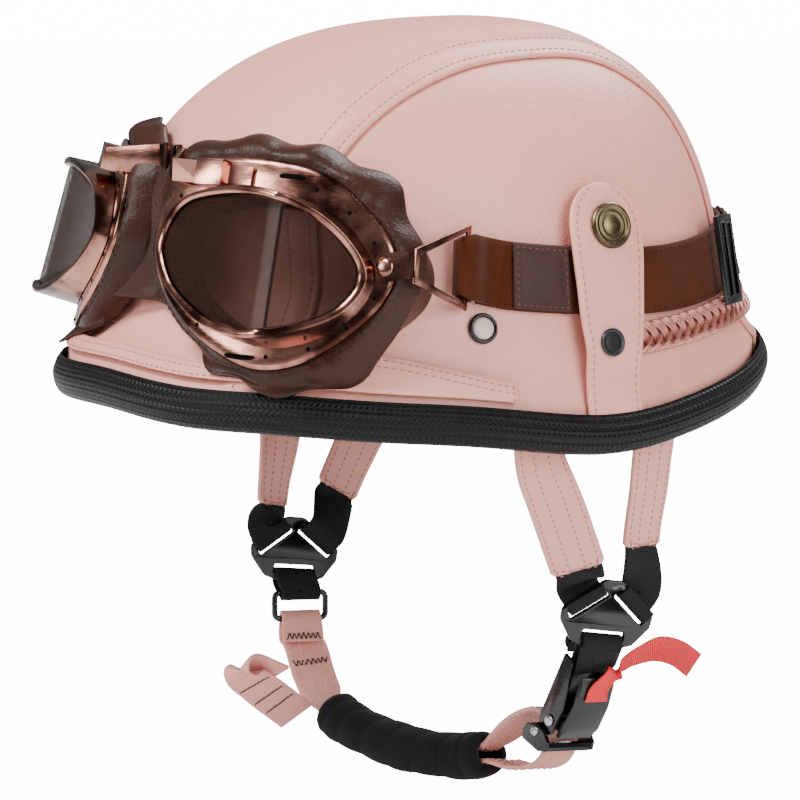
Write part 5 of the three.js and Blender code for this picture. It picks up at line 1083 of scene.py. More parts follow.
# %% The goggles' own frame
YAW, PITCH = math.radians(27.5), math.radians(14)
SHIFT, SPREAD, STANDOFF, EYE_Z = 5, 70.3, 141.949, 65.4
ACROSS = np.array([math.cos(YAW), math.sin(YAW), 0])
OUT = np.array([math.sin(YAW) * math.cos(PITCH), -math.cos(YAW) * math.cos(PITCH), math.sin(PITCH)])
UP = np.cross(OUT, ACROSS)
FRAME_WIDTH, FRAME_HEIGHT, BEZEL_WIDTH, BEZEL_HEIGHT = 100, 79, 88.5, 56.011
FLANGE = [
    (0.495, -0.07), (0.492, 0.134), (0.364, 0.318), (0.186, 0.461), (-0.039, 0.5), (-0.24, 0.492),
    (-0.377, 0.46), (-0.464, 0.261), (-0.5, 0.06), (-0.448, -0.12), (-0.318, -0.3), (-0.16, -0.42),
    (0.02, -0.495), (0.192, -0.457), (0.373, -0.291),
]
BEZEL = [
    (0.495, 0), (0.36, 0.3), (0.118, 0.46), (-0.215, 0.45), (-0.416, 0.34), (-0.505, 0.07),
    (-0.43, -0.17), (-0.31, -0.33), (-0.112, -0.49), (0.114, -0.54), (0.296, -0.45), (0.446, -0.257),
]
print("Flange faces:", OUT.round(3))


# %% Places on a flange, and even points round an outline
def out_of(side):
    """The way a flange faces."""
    return OUT * (side, 1, 1)


def on_goggle(side, s, u, o):
    """A place at s across, u up and o out from the middle of an eye's flange, which is bent."""
    s, u, o = np.broadcast_arrays(np.asarray(s, float), u, o)
    bend = -((s + 12) ** 2) / 360
    p = np.array([0, -STANDOFF, EYE_Z]) + ACROSS * SPREAD
    p = p + ACROSS * s[..., None] + UP * u[..., None] + OUT * (o + bend)[..., None]
    return np.stack([SHIFT + side * p[..., 0], p[..., 1], p[..., 2]], axis=-1)


def resampled(points, count):
    line = spline(points, 600, closed=True)
    line = np.r_[line, line[:1]]
    run = np.r_[0, np.linalg.norm(np.diff(line, axis=0), axis=1).cumsum()]
    places = np.linspace(0, run[-1], count, endpoint=False)
    return np.stack([np.interp(places, run, line[:, k]) for k in range(2)], axis=-1)


# %% The two outlines, point for point
COUNT = 132
flange = resampled([(a * FRAME_WIDTH, b * FRAME_HEIGHT, 0) for a, b in FLANGE], COUNT)
bezel_points = [(a * BEZEL_WIDTH, b * BEZEL_HEIGHT, 0) for a, b in BEZEL]
dense = resampled(bezel_points, 900)
at = np.arctan2(dense[:, 1] / BEZEL_HEIGHT, dense[:, 0] / BEZEL_WIDTH)


def bezel_beside(outline):
    """The bezel's points in the same directions as an outline's."""
    want = np.arctan2(outline[:, 1] / FRAME_HEIGHT, outline[:, 0] / FRAME_WIDTH)
    return dense[[int(np.argmin(np.abs(np.angle(np.exp(1j * (at - w)))))) for w in want]]


bezel = bezel_beside(flange)


def inset(line, size):
    return line * (1 - size / np.linalg.norm(line, axis=1))[:, None]


RIDGE, NOSE_RISE, RIDGE_RISE, TEMPLE_RISE = 15.5, 6, 21, 4.5


def lens_rise(s):
    """Height of the panes over the flange: a bulging rise to the ridge, then a straight fall."""
    nose, temple = -BEZEL_WIDTH / 2, BEZEL_WIDTH / 2
    t = np.clip((s - nose) / (RIDGE - nose), 0, 1)
    inner = NOSE_RISE + (RIDGE_RISE - NOSE_RISE) * (1.12 * t - 0.12 * t * t)
    outer = RIDGE_RISE + (TEMPLE_RISE - RIDGE_RISE) * np.clip((s - RIDGE) / (temple - RIDGE), 0, 1)
    return np.where(s < RIDGE, inner, outer)


print("Bezel from", bezel.min(axis=0).round(1), "to", bezel.max(axis=0).round(1))


# %% Flange and bezel
def ringed_body(name, side, profile, mat, node, crisp=40):
    """Sweeps a profile round the eye: each entry is an outline and its height over the flange."""
    sections = np.stack([on_goggle(side, line[:, 0], line[:, 1], o) for line, o in profile], axis=1)
    return dress(swept(name, sections, closed=True), mat, node, crisp=crisp)


for name, side in SIDES:
    hole, rim = bezel * 0.9, bezel * 0.9 * 0.14 + flange * 0.86
    wide = inset(flange, 0.5)
    mid = hole * 0.45 + flange * 0.55
    ringed_body(f"goggle_frame_{name}_copper", side, [
        (hole, 0.0), (mid, 0.0), (wide, -0.8), (flange, -0.6), (flange, 0.2), (wide, 0.75),
        (rim, 1.25), (mid, 1.4), (hole * 0.8 + flange * 0.2, 1.4), (hole, 1.4),
    ], COPPER, f"goggle_frame_{name}")
    top = lens_rise(bezel[:, 0]) + 1.5
    foot = 1.75
    third = foot + (top - foot) * 0.33
    ringed_body(f"goggle_bezel_{name}_copper", side, [
        (inset(bezel, 3.4), foot + 0 * top), (bezel * 1.02, foot + 0 * top),
        (bezel * 1.015, foot + 0.9), (inset(bezel, -0.2), third), (inset(bezel, 0.25), top - 1.2),
        (inset(bezel, 0.35), top - 0.35), (inset(bezel, 0.9), top), (inset(bezel, 2.4), top),
        (inset(bezel, 3.2), top - 0.4),
        (inset(bezel, 3.4), top - 1.0),
    ], COPPER, f"goggle_bezel_{name}")
print("Flange and bezel", COUNT, "sections")


# %% Lens panes: thin curved plates that meet at the ridge
PANE_INSET, PANE_GAP, PANE_FRONT, PANE_BACK = 3.95, 0.2, 0.9, 2.9
pane_edge = inset(bezel, PANE_INSET)


def pane(kind, name, side, start, end):
    line = pane_edge
    s = start + (end - start) * (1 - np.cos(np.pi * np.linspace(0, 1, 26))) / 2
    after = np.roll(line, -1, axis=0)
    low, high = [], []
    for place in s:
        t = (place - line[:, 0]) / (after[:, 0] - line[:, 0] + 1e-9)
        cut = (t >= 0) & (t <= 1)
        u = (line[:, 1] + (after[:, 1] - line[:, 1]) * t)[cut]
        low.append(u.min())
        high.append(u.max())
    low, high = np.array(low), np.array(high)
    t = np.linspace(0, 1, 12)
    u = low[:, None] + (high - low)[:, None] * t
    rise = lens_rise(s)[:, None] + 0 * u
    grid = [on_goggle(side, s[:, None] + 0 * u, u, rise - drop) for drop in (PANE_FRONT, PANE_BACK)]
    node = f"lens_{kind}_{name}"
    dress(plate(f"{node}_glass", *grid), LENS, node, crisp=40)


nose, temple = pane_edge[:, 0].min() + 0.5, pane_edge[:, 0].max() - 0.5
for name, side in SIDES:
    pane("inner", name, side, nose, RIDGE - PANE_GAP)
    pane("outer", name, side, RIDGE + PANE_GAP, temple)
print("Panes from", nose.round(1), "to", temple.round(1))

# %% [markdown]
# ## The soft mask
# The mask is thin glove leather over padding. It bulges from under the flange, wrinkles where it is
# pulled round the brow, and its cut edge wanders. A cloth simulation would have to inflate it against
# the crown; a swept ring with seeded folds gives the same look, keeps off the crown, and repeats.

# %% Mask sections: the ring's margin and folds round the eye
MASK_EDGE = np.array([
    (0, 0.4), (22, 0.65), (40, 1), (75, 0.8), (115, 1.0), (140, 1.0), (158, 0.6), (180, 0.3),
    (220, 0.45), (245, 0.6), (275, 0.65), (305, 1.05), (325, 0.9), (343, 0.5), (360, 0.4),
])


def gap_behind(side, s, u):
    """How far the crown lies behind a place of the flange."""
    p, way = on_goggle(side, s, u, 0), out_of(side)
    return halved(-6, 70, len(s), lambda back: level(p - way * back[:, None]) > 0, 26)


def cover_top(side, line):
    back = gap_behind(side, line[:, 0], line[:, 1])
    p = on_goggle(side, line[:, 0], line[:, 1], -back)
    turn = turn_of(p)
    visor = (LEATHER + 2 * LAP) * smooth((rim_height(turn) + visor_rise(turn) + 7 - p[:, 2]) / 5)
    return LAP + LEATHER + visor - back


# %% Folds round the eye, and the mask's two outlines
rng = np.random.default_rng(41)


def folds(angle, low, high, count):
    """A seeded sum of waves round the eye."""
    total = np.zeros_like(angle)
    for wave in rng.integers(low, high, count):
        total += np.sin(angle * wave + rng.uniform(0, 2 * np.pi)) / count**0.5
    return total


MASK_COUNT, MARGIN = 220, 11
mask_flange = resampled([(a * FRAME_WIDTH, b * FRAME_HEIGHT, 0) for a, b in FLANGE], MASK_COUNT)
angle = np.arctan2(mask_flange[:, 1], mask_flange[:, 0])
mask_inner = 0.86 * bezel_beside(mask_flange)
margin = MARGIN * along(MASK_EDGE, 1, np.degrees(angle) % 360)


def beyond(line, size):
    return line * (1 + size / np.linalg.norm(line, axis=1))[:, None]


print("Mask margin:", margin.min().round(1), "to", margin.max().round(1))


# %% One mask ring: a padded skin in front and a tuck behind
CLEAR, SKIN, PUFF, EDGE_DROP = 1.2, 1.4, 1.4, 9.5
RAGGED, WRINKLE, FINE_FOLD = 0.16, 0.42, 0.2


def mask_ring(name, side):
    ragged = margin * (1 + RAGGED * folds(angle, 4, 13, 4))
    wrinkle, fine = folds(angle, 7, 18, 5), folds(angle, 22, 48, 6)
    outer = beyond(mask_flange, ragged)
    floors = [cover_top(side, mask_inner * (1 - t) + outer * t) + CLEAR for t in (0, 0.5, 1)]
    skin = []
    for t in np.linspace(0, 1, 9):
        reach = ragged * t
        line = beyond(mask_flange, reach)
        floor = cover_top(side, line) + CLEAR + SKIN
        puff = PUFF * math.sin(math.pi * t) ** 0.8
        drop = -1.25 - EDGE_DROP * t**2.2
        rough = WRINKLE * wrinkle + FINE_FOLD * fine
        o = drop + puff + rough * math.sin(math.pi * min(t * 0.62 + 0.12, 1))
        limit = np.where(t < 0.12, -1.2, 9)
        skin.append((line, np.maximum(np.minimum(o, limit), floor)))
    edge, under = skin[-1][1], beyond(mask_flange, ragged * 0.9)
    between = mask_flange * 0.5 + mask_inner * 0.5
    tuck = [
        (beyond(mask_flange, ragged * 0.985), np.maximum(edge - 1.4, np.maximum(floors[2], -15.0))),
        (under, np.maximum(edge - 2.2, cover_top(side, under) + 1.0)),
        (mask_flange, np.minimum(cover_top(side, mask_flange) + CLEAR, -2.0)),
        (between, np.minimum(np.maximum(floors[1], -13), -1.6)),
        (mask_inner, np.minimum(np.maximum(floors[0], -15), -1.4)),
        (mask_inner, np.full(MASK_COUNT, -0.75)),
        (between, np.full(MASK_COUNT, -0.8)),
        (inset(mask_flange, 1.5), np.full(MASK_COUNT, -1.25)),
    ]
    profile = skin + tuck
    sections = np.stack([on_goggle(side, line[:, 0], line[:, 1], o) for line, o in profile], axis=1)
    ring = dress(swept(name, sections, closed=True), BROWN)
    row = inset(mask_flange, -1.9)
    line = on_goggle(side, row[:, 0], row[:, 1], 0.4 + np.maximum(cover_top(side, row), -1.6))
    facing = np.broadcast_to(out_of(side), line.shape)
    stitch("mask thread", np.r_[line, line[:1]], np.r_[facing, facing[:1]], 0.35)
    return ring


rings = [mask_ring(f"goggle_mask_{name}", side) for name, side in SIDES]

# %% The web over the nose joins the two rings: rows of height, width and bulge
WEB_BACK, WEB_OFF = -1.25, 4.1
rows = [
    (0.5, 0.31, 0.0), (0.44, 0.37, 0.8), (0.34, 0.41, 1.2), (0.2, 0.44, 1.2), (0.1, 0.46, 1.2),
    (0.0, 0.46, 1.0), (-0.1, 0.44, 0.6), (-0.18, 0.4, 0.2), (-0.26, 0.35, 0.0),
]
sections = []
for up, wide, more in rows:
    s, u = -wide * FRAME_WIDTH, up * FRAME_HEIGHT
    height = on_goggle(LEFT, s, u, 0.0)[2]
    front = reach_from(np.array([SHIFT, 0, height]), np.array([0, -1.0, 0]))
    left, right = (on_goggle(side, s, u, WEB_BACK) for side in (LEFT, RIGHT))
    centre = front - np.array([0, WEB_OFF + more, 0])
    span = np.linspace(-1, 1, 15)[:, None]
    curve = np.where(span < 0, right * -span + centre * (1 + span), left * span + centre * (1 - span))
    soft = np.cos(span * np.pi / 2) ** 2
    back = np.array([0, 1.0, 0])
    sections.append(np.r_[curve - back * 0.6 * soft, (curve + back * (0.5 + 1.6 * soft))[::-1]])
fine = spline(np.reshape(sections, (len(rows), -1)), 33).reshape(33, -1, 3)
web = dress(swept("goggle_mask_web", fine), BROWN)
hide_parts("goggle_mask")
for ring in rings:
    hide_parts("goggle_mask")
print("Mask rings", MASK_COUNT, "sections")

# %% [markdown]
# ## Bridge, lugs and links
# These are cut and bent from sheet copper, so the CAD nodes already have their form. They only need
# merged vertices, rounded edges and the metal finish.

# %% Painted shade of the flange's vent slots and holes, and the lug's domed rivet
VENT_SLOTS = [(-21, 33.2, 19), (8, 33.6, 11), (-3, -35.4, 13)]
VENT_HOLE = [(0, 0), (0.85, 0), (0.8, 0.35), (0, 0.38)]
LUG_RIVET = [(0, 0), (3.6, 0), (3.7, 0.3), (3.2, 0.9), (2.2, 1.35), (0.8, 1.55), (0, 1.6)]
# Slots and holes are not cut: thin near-black pieces on the flange, painted shade of openings.
for name, side in SIDES:
    for i, (s, u, long) in enumerate(VENT_SLOTS):
        t = np.linspace(-1, 1, 13)
        half = 0.95 * np.sqrt(np.clip(1 - np.abs(t) ** 8, 0.02, 1))
        lean = 0.5 * (t * long / 2) ** 2 / 60 * (-1 if u > 0 else 1)
        ring = [
            on_goggle(side, s + t * long / 2, u + lean + half * v, o)
            for v, o in ((-1, 1.3), (-1, 1.5), (0, 1.56), (1, 1.5), (1, 1.3))
        ]
        dress(swept(f"vent_slot_shade_{name}_{i}", np.stack(ring, axis=1)), VENT_SHADE)
    for k in range(2, COUNT, 8):
        base = bezel[k] * 0.55 + flange[k] * 0.45
        if min(math.hypot(base[0] - s, base[1] - u) - long / 2 for s, u, long in VENT_SLOTS) > 2.5:
            seat = on_goggle(side, base[0], base[1], 1.2)
            dress(turned(f"vent_hole_shade_{name}_{k}", VENT_HOLE, seat, out_of(side), 12), VENT_SHADE)
    seat = on_goggle(side, 0.5 * FRAME_WIDTH - 1.8, 3.7, 3.2)
    dress(turned(f"lug_rivet_{name}", LUG_RIVET, seat, out_of(side), 32), COPPER)
print("Vents and rivets done")

# %% Copper fittings
refined("bridge_link", COPPER, 0.28)
for kind in ("bridge_arm", "frame_lug", "strap_link"):
    for name, _ in SIDES:
        refined(f"{kind}_{name}", COPPER, 0.28)
print("Copper fittings done")

# %% [markdown]
# ## Harness
# Two pink leather straps come down inside the shell on each side and end in black webbing, which runs
# through a slotted plate. Straps like these are flat bands with a soft edge, so each one is a rounded
# section carried along a curve through a few stations, with its width turning on the way.


# %% A strap through stations of (point, width direction, width)
def strap_body(name, stations, wall, mat, node, closed=False, density=7, body="helmet", wave=0.0):
    p, across, width = (np.array([s[k] for s in stations], float) for k in range(3))
    n = len(p)
    count = n * density if closed else (n - 1) * density + 1
    place = np.linspace(0, n if closed else n - 1, count, endpoint=not closed)
    ring = np.arange(n + 1) % n if closed else np.arange(n)
    steps = np.arange(len(ring))
    line = spline(p, count, closed)
    across = np.stack([np.interp(place, steps, across[ring][:, k]) for k in range(3)], axis=-1)
    width = np.interp(place, steps, width[ring])
    if closed:
        way = unit(np.roll(line, -1, axis=0) - np.roll(line, 1, axis=0))
    else:
        way = unit(np.gradient(line, axis=0))
    across = unit(across - way * (across * way).sum(axis=1, keepdims=True))
    face = np.cross(way, across)
    line = line + face * (wave * np.sin(place * 2.1))[:, None]
    x, z = width[:, None] / 2 * BULLNOSE[:, 0], (BULLNOSE[:, 1] - 0.5) * wall
    sections = line[:, None] + across[:, None] * x[..., None] + face[:, None] * z[:, None]
    dress(swept(name, sections, closed), mat, node, body=body, crisp=60)
    return {"line": line, "across": across, "face": face, "width": width, "wall": wall}


# %% Sewing along a strap, tacks across it, and curved routes
def sew(kind, strap, shares, start, end):
    """Rows of stitches along a strap at shares of its half width."""
    run = np.linspace(0, 1, len(strap["line"]))
    keep = (run >= start) & (run <= end)
    for share in shares:
        for way in (1, -1):
            line = strap["line"] + strap["across"] * (strap["width"] / 2 * share)[:, None]
            line = line + strap["face"] * (way * strap["wall"] / 2)
            stitch(kind, line[keep], strap["face"][keep] * way, 0.06)


def zigzag(kind, strap, at, size=2.2, teeth=7):
    """A bar tack over four fifths of a strap's width, at a share of its length."""
    last = len(strap["line"]) - 1
    i = int(round(at * last))
    way = unit(strap["line"][min(i + 1, last)] - strap["line"][max(i - 1, 0)])
    x = np.linspace(-0.8, 0.8, 2 * teeth + 1)
    y = size / 2 * np.where(np.arange(len(x)) % 2, 1, -1)
    middle, face = strap["line"][i], strap["face"][i]
    line = middle + strap["across"][i] * (strap["width"][i] / 2 * x)[:, None] + way * y[:, None]
    for side in (1, -1):
        stitch(kind, line + face * side * strap["wall"] / 2, face * side, 0.1)


def route(points, across, width, count):
    """Stations on a curve whose width direction turns in the second half."""
    line = spline(points, count + 1)
    turn = smooth(2 * np.linspace(0, 1, count + 1) - 1)
    first, last = (np.asarray(a, float) for a in across)
    return [(p, first * (1 - t) + last * t, width) for p, t in zip(line, turn)]


print("Strap helpers ready")

# %% The slotted plates' own axes, in shares of how far out and how low they hang
HARNESS_OUT, YOKE_DROP, CHIN_DROP, RING_DROP = 90, 77, 150, 101
STRAP_WIDTH, STRAP_WALL, WEB_WIDTH, WEB_WALL, FIT = 22, 2.2, 19, 1.6, 0.35
YOKE_WIDTH, YOKE_HEIGHT, YOKE_WALL, SLOT_HALF, SLOT_GAP, EDGE_BAR = 38, 27, 2.6, 8.8, 1.9, 3
YOKES = {
    "left": (LEFT, 0.435, 0.99, 0.26, -0.13, 0.12),
    "right": (RIGHT, 0.065, 1.01, 0.3, -0.08, -0.1),
}
STRAPS = [
    ("front_left", -0.06, 1.05, 0.235, 0.72, (0.5, 0.83)),
    ("rear_left", 0.65, 1.045, 0.575, 0.63, (-0.25, 0.95)),
    ("front_right", 0.03, 1.04, -0.04, 0.75, (0.42, 0.85)),
    ("rear_right", 0.67, 1.04, 0.32, 0.7, (0.05, 0.95)),
]


def yoke_axes(name):
    side, fore, drop, turn_in, tilt, lean = YOKES[name]
    width = unit(np.array([turn_in, 1, tilt]))
    up = np.array([lean, 0, 1]) - width * width[2]
    up = unit(up)
    centre = np.array([side * HARNESS_OUT, fore * HARNESS_OUT, -drop * YOKE_DROP])
    return {"width": width, "up": up, "out": unit(np.cross(width, up)), "centre": centre}


# A slot is its middle and the way out to the plate's edge, in the plate's width and up.
STEEP, SLOT_LOW = math.radians(38), -0.3 * YOKE_HEIGHT
SLOTS = {
    place: ((way * 0.235 * YOKE_WIDTH, 0.15 * YOKE_HEIGHT), (way * math.sin(STEEP), math.cos(STEEP)))
    for place, way in (("front", -1), ("rear", 1))
}


def on_yoke(axes, a, b, lift=0.0):
    return axes["centre"] + axes["width"] * a + axes["up"] * b + axes["out"] * lift


# %% Pink straps, from between shell and head down to the plates
INNER_FACE = LEATHER + SHELL_GAP + SHELL_WALL


def pink_strap(label, fore, out_share, end_fore, drop, turn_to):
    side, y = YOKES[label.split("_")[1]][0], fore * HARNESS_OUT
    top = side_at(side, y, float(RIM_RISE), -INNER_FACE - FIT - STRAP_WALL / 2 - 1.2)
    turn = turn_of(side_at(side, y, 0.0))
    rim = rim_height(turn)
    room = INNER_FACE + 0.8 + TRIM_WALL + FIT + STRAP_WALL / 2 + 1.6
    past = crown_at(turn, rim - EDGE_DEPTH / 2) - out_at(turn) * room
    trim_top, trim_foot = (np.array([past[0], past[1], rim - d]) for d in (1, 19))
    end = np.array([side * out_share * HARNESS_OUT, end_fore * HARNESS_OUT, -drop * YOKE_DROP])
    wall = normal_at(top)
    first = unit(np.array([-wall[1], wall[0], 0]) * side)
    last = unit(np.array([side * turn_to[0], turn_to[1], 0]))
    points = [top, trim_top, trim_foot, (trim_foot + end) / 2, end]
    stations = route(points, (first, last), STRAP_WIDTH, 9)
    stations[-1:] = [
        (stations[-2][0] * 0.12 + end * 0.88, last, STRAP_WIDTH), (end, last, STRAP_WIDTH - 3),
    ]
    name = f"strap_{label}"
    pink = strap_body(f"{name}_leather", stations, STRAP_WALL, STRAP_PINK, name, wave=0.25)
    sew("strap thread", pink, (-0.8, -0.3, 0.3, 0.8), 0.3, 0.965)
    zigzag("strap thread", pink, 0.96)
    return side, pink, end, last


# %% Webbing, from inside a pink strap through a slot and back over the plate
def strap_webbing(label, side, pink, end, last):
    place, name = label.split("_")
    axes, (at, away) = yoke_axes(name), SLOTS[place]
    h, way = YOKE_WALL / 2 + FIT + WEB_WALL / 2, unit(pink["line"][-1] - pink["line"][-9])
    s = 1 if axes["out"][0] * side > 0 else -1
    lane = axes["width"] * away[1] - axes["up"] * away[0]
    lane = lane * (1 if last @ lane > 0 else -1)

    def slot_at(n, lift, width=2 * SLOT_HALF - 1):
        return on_yoke(axes, at[0] + away[0] * n, at[1] + away[1] * n, s * lift), lane, width

    edge = SLOT_GAP + EDGE_BAR
    strap_body(f"webbing_{label}_weave", [
        (pink["line"][-9], last, WEB_WIDTH), (end - way * 0.4, last, WEB_WIDTH),
        (end + way * 3, last, WEB_WIDTH), slot_at(edge + 2.5, -h - 1.4, 2 * SLOT_HALF - 0.2),
        slot_at(SLOT_GAP + 0.1, -h - 0.25), slot_at(0.2, -1.1), slot_at(0.2, 1.1),
        slot_at(SLOT_GAP + 0.1, h + 0.25), slot_at(edge + 0.2, h),
    ], WEB_WALL, WEBBING, f"webbing_{label}")


for label, *row in STRAPS:
    strap_webbing(label, *pink_strap(label, *row))
for name in YOKES:
    refined(f"harness_yoke_{name}", PLASTIC, 0.7)
print("Straps and plates done")


# %% Loops of webbing round two bars
def loop_round(name, first, second, width, node):
    stations = []
    for bar, start in ((second, 0.0), (first, math.pi)):
        way = second["centre"] - first["centre"]
        way = unit(way - bar["across"] * (way @ bar["across"]))
        face = unit(np.cross(way, bar["across"]))
        for t in np.linspace(0, 1, 6):
            a = start + math.pi * t
            out = face * math.cos(a) + way * math.sin(a)
            stations.append((bar["centre"] + out * bar["radius"], bar["across"], width))
    return strap_body(name, stations, WEB_WALL, WEBBING, node, closed=True, density=4)


def yoke_bar(axes):
    return {
        "centre": on_yoke(axes, 0, SLOT_LOW - SLOT_GAP - EDGE_BAR / 2),
        "radius": math.hypot(EDGE_BAR, YOKE_WALL) / 2 + FIT + WEB_WALL / 2,
        "across": axes["width"],
    }


# %% Ring under the right plate, as round wire bent to a rounded rectangle
right = yoke_axes("right")
ring_width = unit(np.array([0.3, 0.95, 0]))
ring_up = unit(np.array([-0.12, 0, 1]) + ring_width * 0.12 * ring_width[0])
ring_centre = np.array([-0.945 * HARNESS_OUT, 0.07 * HARNESS_OUT, -RING_DROP])
ring_out = np.cross(ring_width, ring_up)
WIRE, RING_W, RING_H, CORNER = 2.6, 25, 14, 2.6
w, h = (RING_W - WIRE) / 2, (RING_H - WIRE) / 2
sections = []
for k, (i, j) in enumerate([(1, 1), (-1, 1), (-1, -1), (1, -1)]):
    for t in np.linspace(0, 1, 9):
        a = math.pi / 2 * (k + t)
        away = ring_width * math.cos(a) + ring_up * math.sin(a)
        p = ring_centre + ring_width * i * (w - CORNER) + ring_up * j * (h - CORNER) + away * CORNER
        b = np.linspace(0, 2 * np.pi, 20, endpoint=False)[:, None]
        sections.append(p + (away * np.cos(b) + ring_out * np.sin(b)) * WIRE / 2)
dress(swept("harness_ring_wire", sections, closed=True), BLACK, "harness_ring")
ring_bar = {"centre": ring_centre + ring_up * h, "radius": WIRE / 2 + FIT + WEB_WALL / 2 + 0.3,
            "across": ring_width}
loop_round("webbing_loop_right_weave", yoke_bar(right), ring_bar, WEB_WIDTH - 2, "webbing_loop_right")


# %% Buckle axes: along runs up the body, width is the pins' direction, out faces away from the head
def hung(out, fore, drop):
    return np.array([out * HARNESS_OUT, fore * HARNESS_OUT, -drop * CHIN_DROP])


pivot = hung(0.711, 0.467, 0.827)
buckle_along = unit(np.array([0.4, 0.1, 0.91]))
buckle_width = unit(np.array([0, 1.0, 0]) - buckle_along * buckle_along[1])
buckle_out = unit(np.cross(buckle_width, buckle_along))
BUCKLE_WIDTH, LONG, DEEP, BUCKLE_WALL = 21, 31, 9, 1.5


def on_buckle(a, w, n):
    return pivot + buckle_along * a + buckle_width * w + buckle_out * n


# %% Chin strap: sewn round the ring, through the sleeve and round the clamp's bar
SLEEVE = [
    (-0.611, 0.052, 0.941), (-0.478, 0.097, 0.97), (-0.267, 0.15, 0.993), (-0.056, 0.217, 0.998),
    (0.167, 0.282, 0.985), (0.311, 0.321, 0.963),
]
CHIN_RIGHT = [(-0.878, 0.061, 0.781), (-0.756, 0.05, 0.869), (-0.64, 0.053, 0.931)]
CHIN_LEFT = [
    (0.4, 0.345, 0.977), (0.5, 0.4, 0.98), (0.611, 0.446, 0.953), (0.662, 0.453, 0.903),
    (0.65, 0.46, 0.853), (0.6, 0.46, 0.815), (0.522, 0.435, 0.823), (0.422, 0.385, 0.873),
    (0.34, 0.335, 0.925),
]
CHIN_WIDTH, CHIN_WALL, SLEEVE_WIDTH, SLEEVE_THICK, SLEEVE_WALL = 20, 1.8, 22, 18, 2.6

# %% Its end round the ring
low = ring_centre - ring_up * (RING_H - WIRE) / 2
r = WIRE / 2 + FIT + CHIN_WALL / 2 + 0.3
main, in_sleeve = [hung(*row) for row in CHIN_RIGHT], [hung(*row) for row in SLEEVE]
down = main[0] - low
down = unit(down - ring_width * (down @ ring_width))
face = np.cross(down, ring_width)
face = unit(face) * (1 if face[0] > 0 else -1)
stations = [(low + face * (r - d * 0.05) + down * d, ring_width, CHIN_WIDTH - 2) for d in (11, 5)]
stations += [
    (low + face * r * math.cos(a) - down * r * math.sin(a), ring_width, CHIN_WIDTH - 3)
    for a in np.radians([0, 60, 120, 180])
]
settle = low - face * r * 0.9 + down * 8
stations.append((settle, ring_width, CHIN_WIDTH - 1))
print("Stations at the ring:", len(stations))

# %% Its way through the sleeve, round the clamp's bar and back into the sleeve
rise = 0.24 * (SLEEVE_THICK - 2 * SLEEVE_WALL)
last = len(in_sleeve) - 1
z = np.array([0, 0, 1.0])
lateral = [settle, *main]
lateral += [p - z * (rise * i / last if i > 1 else 0) for i, p in enumerate(in_sleeve)]
lateral += [hung(*row) for row in CHIN_LEFT]
lateral += [in_sleeve[last] * 0.95 + in_sleeve[last - 1] * 0.05 + z * rise,
            in_sleeve[last - 1] * 0.7 + in_sleeve[last] * 0.3 + z * rise]
for p in spline(lateral, 35)[1:]:
    share = p[0] / HARNESS_OUT
    lean, clamp = np.clip((share + 0.75) / 0.3, 0, 1), np.clip((share - 0.3) / 0.2, 0, 1)
    across = ring_width * (1 - lean) + np.array([-0.15, 0.95, -0.2]) * lean
    across = across * (1 - clamp) + buckle_width * clamp
    inside = smooth((share + 0.72) / 0.12) * (1 - smooth((share - 0.31) / 0.1))
    room = BUCKLE_WIDTH - 2 * BUCKLE_WALL - 4 * FIT
    wide = CHIN_WIDTH - 1 - (CHIN_WIDTH - 1 - room) * smooth((share - 0.48) / 0.1)
    stations.append((p, across, wide - (wide - 0.53 * CHIN_WIDTH) * inside))
print("Stations of the chin strap:", len(stations))
chin = strap_body("chin_strap_leather", stations, CHIN_WALL, STRAP_PINK, "chin_strap", density=5)
sew("chin thread", chin, (-0.8, -0.3, 0.3, 0.8), 0.16, 0.3)
sew("chin thread", chin, (-0.8, -0.3, 0.3, 0.8), 0.55, 0.985)
for at in (0.008, 0.215):
    zigzag("bar tack", chin, at, 2.4)

# %% The strap's folded tail, with three bar tacks
TAIL = [
    (-0.7, -0.09, 0.955), (-0.62, -0.28, 0.88), (-0.511, -0.495, 0.795), (-0.5, -0.515, 0.775),
    (-0.512, -0.48, 0.768), (-0.55, -0.31, 0.81),
]
points = [hung(*row) for row in TAIL]
across = (np.array([0.55, 0.35, 0.75]), np.array([0.75, 0, 0.66]))
stations = route(points[:3], across, CHIN_WIDTH - 3, 4)
stations += [(p, across[1], CHIN_WIDTH - 3) for p in points[3:]]
tail = strap_body("strap_tail_leather", stations, CHIN_WALL, STRAP_PINK, "strap_tail")
sew("chin thread", tail, (-0.8, 0.8), 0.02, 0.5)
for at in (0.2, 0.33, 0.46):
    zigzag("bar tack", tail, at, 0.9, 8)


# %% Sleeve: a padded wrap whose turns show as soft ridges
WRAPS = 7.4


def sleeve_grid(shrink, count=150, sides=56):
    line = spline(in_sleeve, count)
    way = unit(np.gradient(line, axis=0))
    wide = np.array([-0.15, 0.95, -0.2])
    wide = unit(wide - way * (way @ wide)[:, None])
    deep = np.cross(way, wide)
    a = np.linspace(0, 2 * np.pi, sides, endpoint=False)
    run = np.linspace(0, 1, count)[:, None]
    swell = 1.0 + 0 * a
    if shrink == 0:
        wrap = np.abs(np.sin(np.pi * (run * WRAPS + a / (2 * np.pi) + 0.06 * np.sin(3 * a))))
        ends = 0.86 + 0.14 * smooth(np.minimum(run, 1 - run) / 0.035)
        swell = (1 + 0.03 * np.sin(run * 17 + 2 * np.cos(a))) * (1.01 + 0.07 * wrap**0.5) * ends
    rx, ry = (SLEEVE_WIDTH / 2 - shrink) * swell, (SLEEVE_THICK / 2 - shrink) * swell
    return (line[:, None] + wide[:, None] * (rx * np.cos(a))[..., None]
            + deep[:, None] * (ry * np.sin(a))[..., None])


sleeve = dress(plate("chin_sleeve_wrap", sleeve_grid(0), sleeve_grid(SLEEVE_WALL + 1.2), wrap=True),
               FOAM, "chin_sleeve")
print("Chin strap, tail and sleeve done")

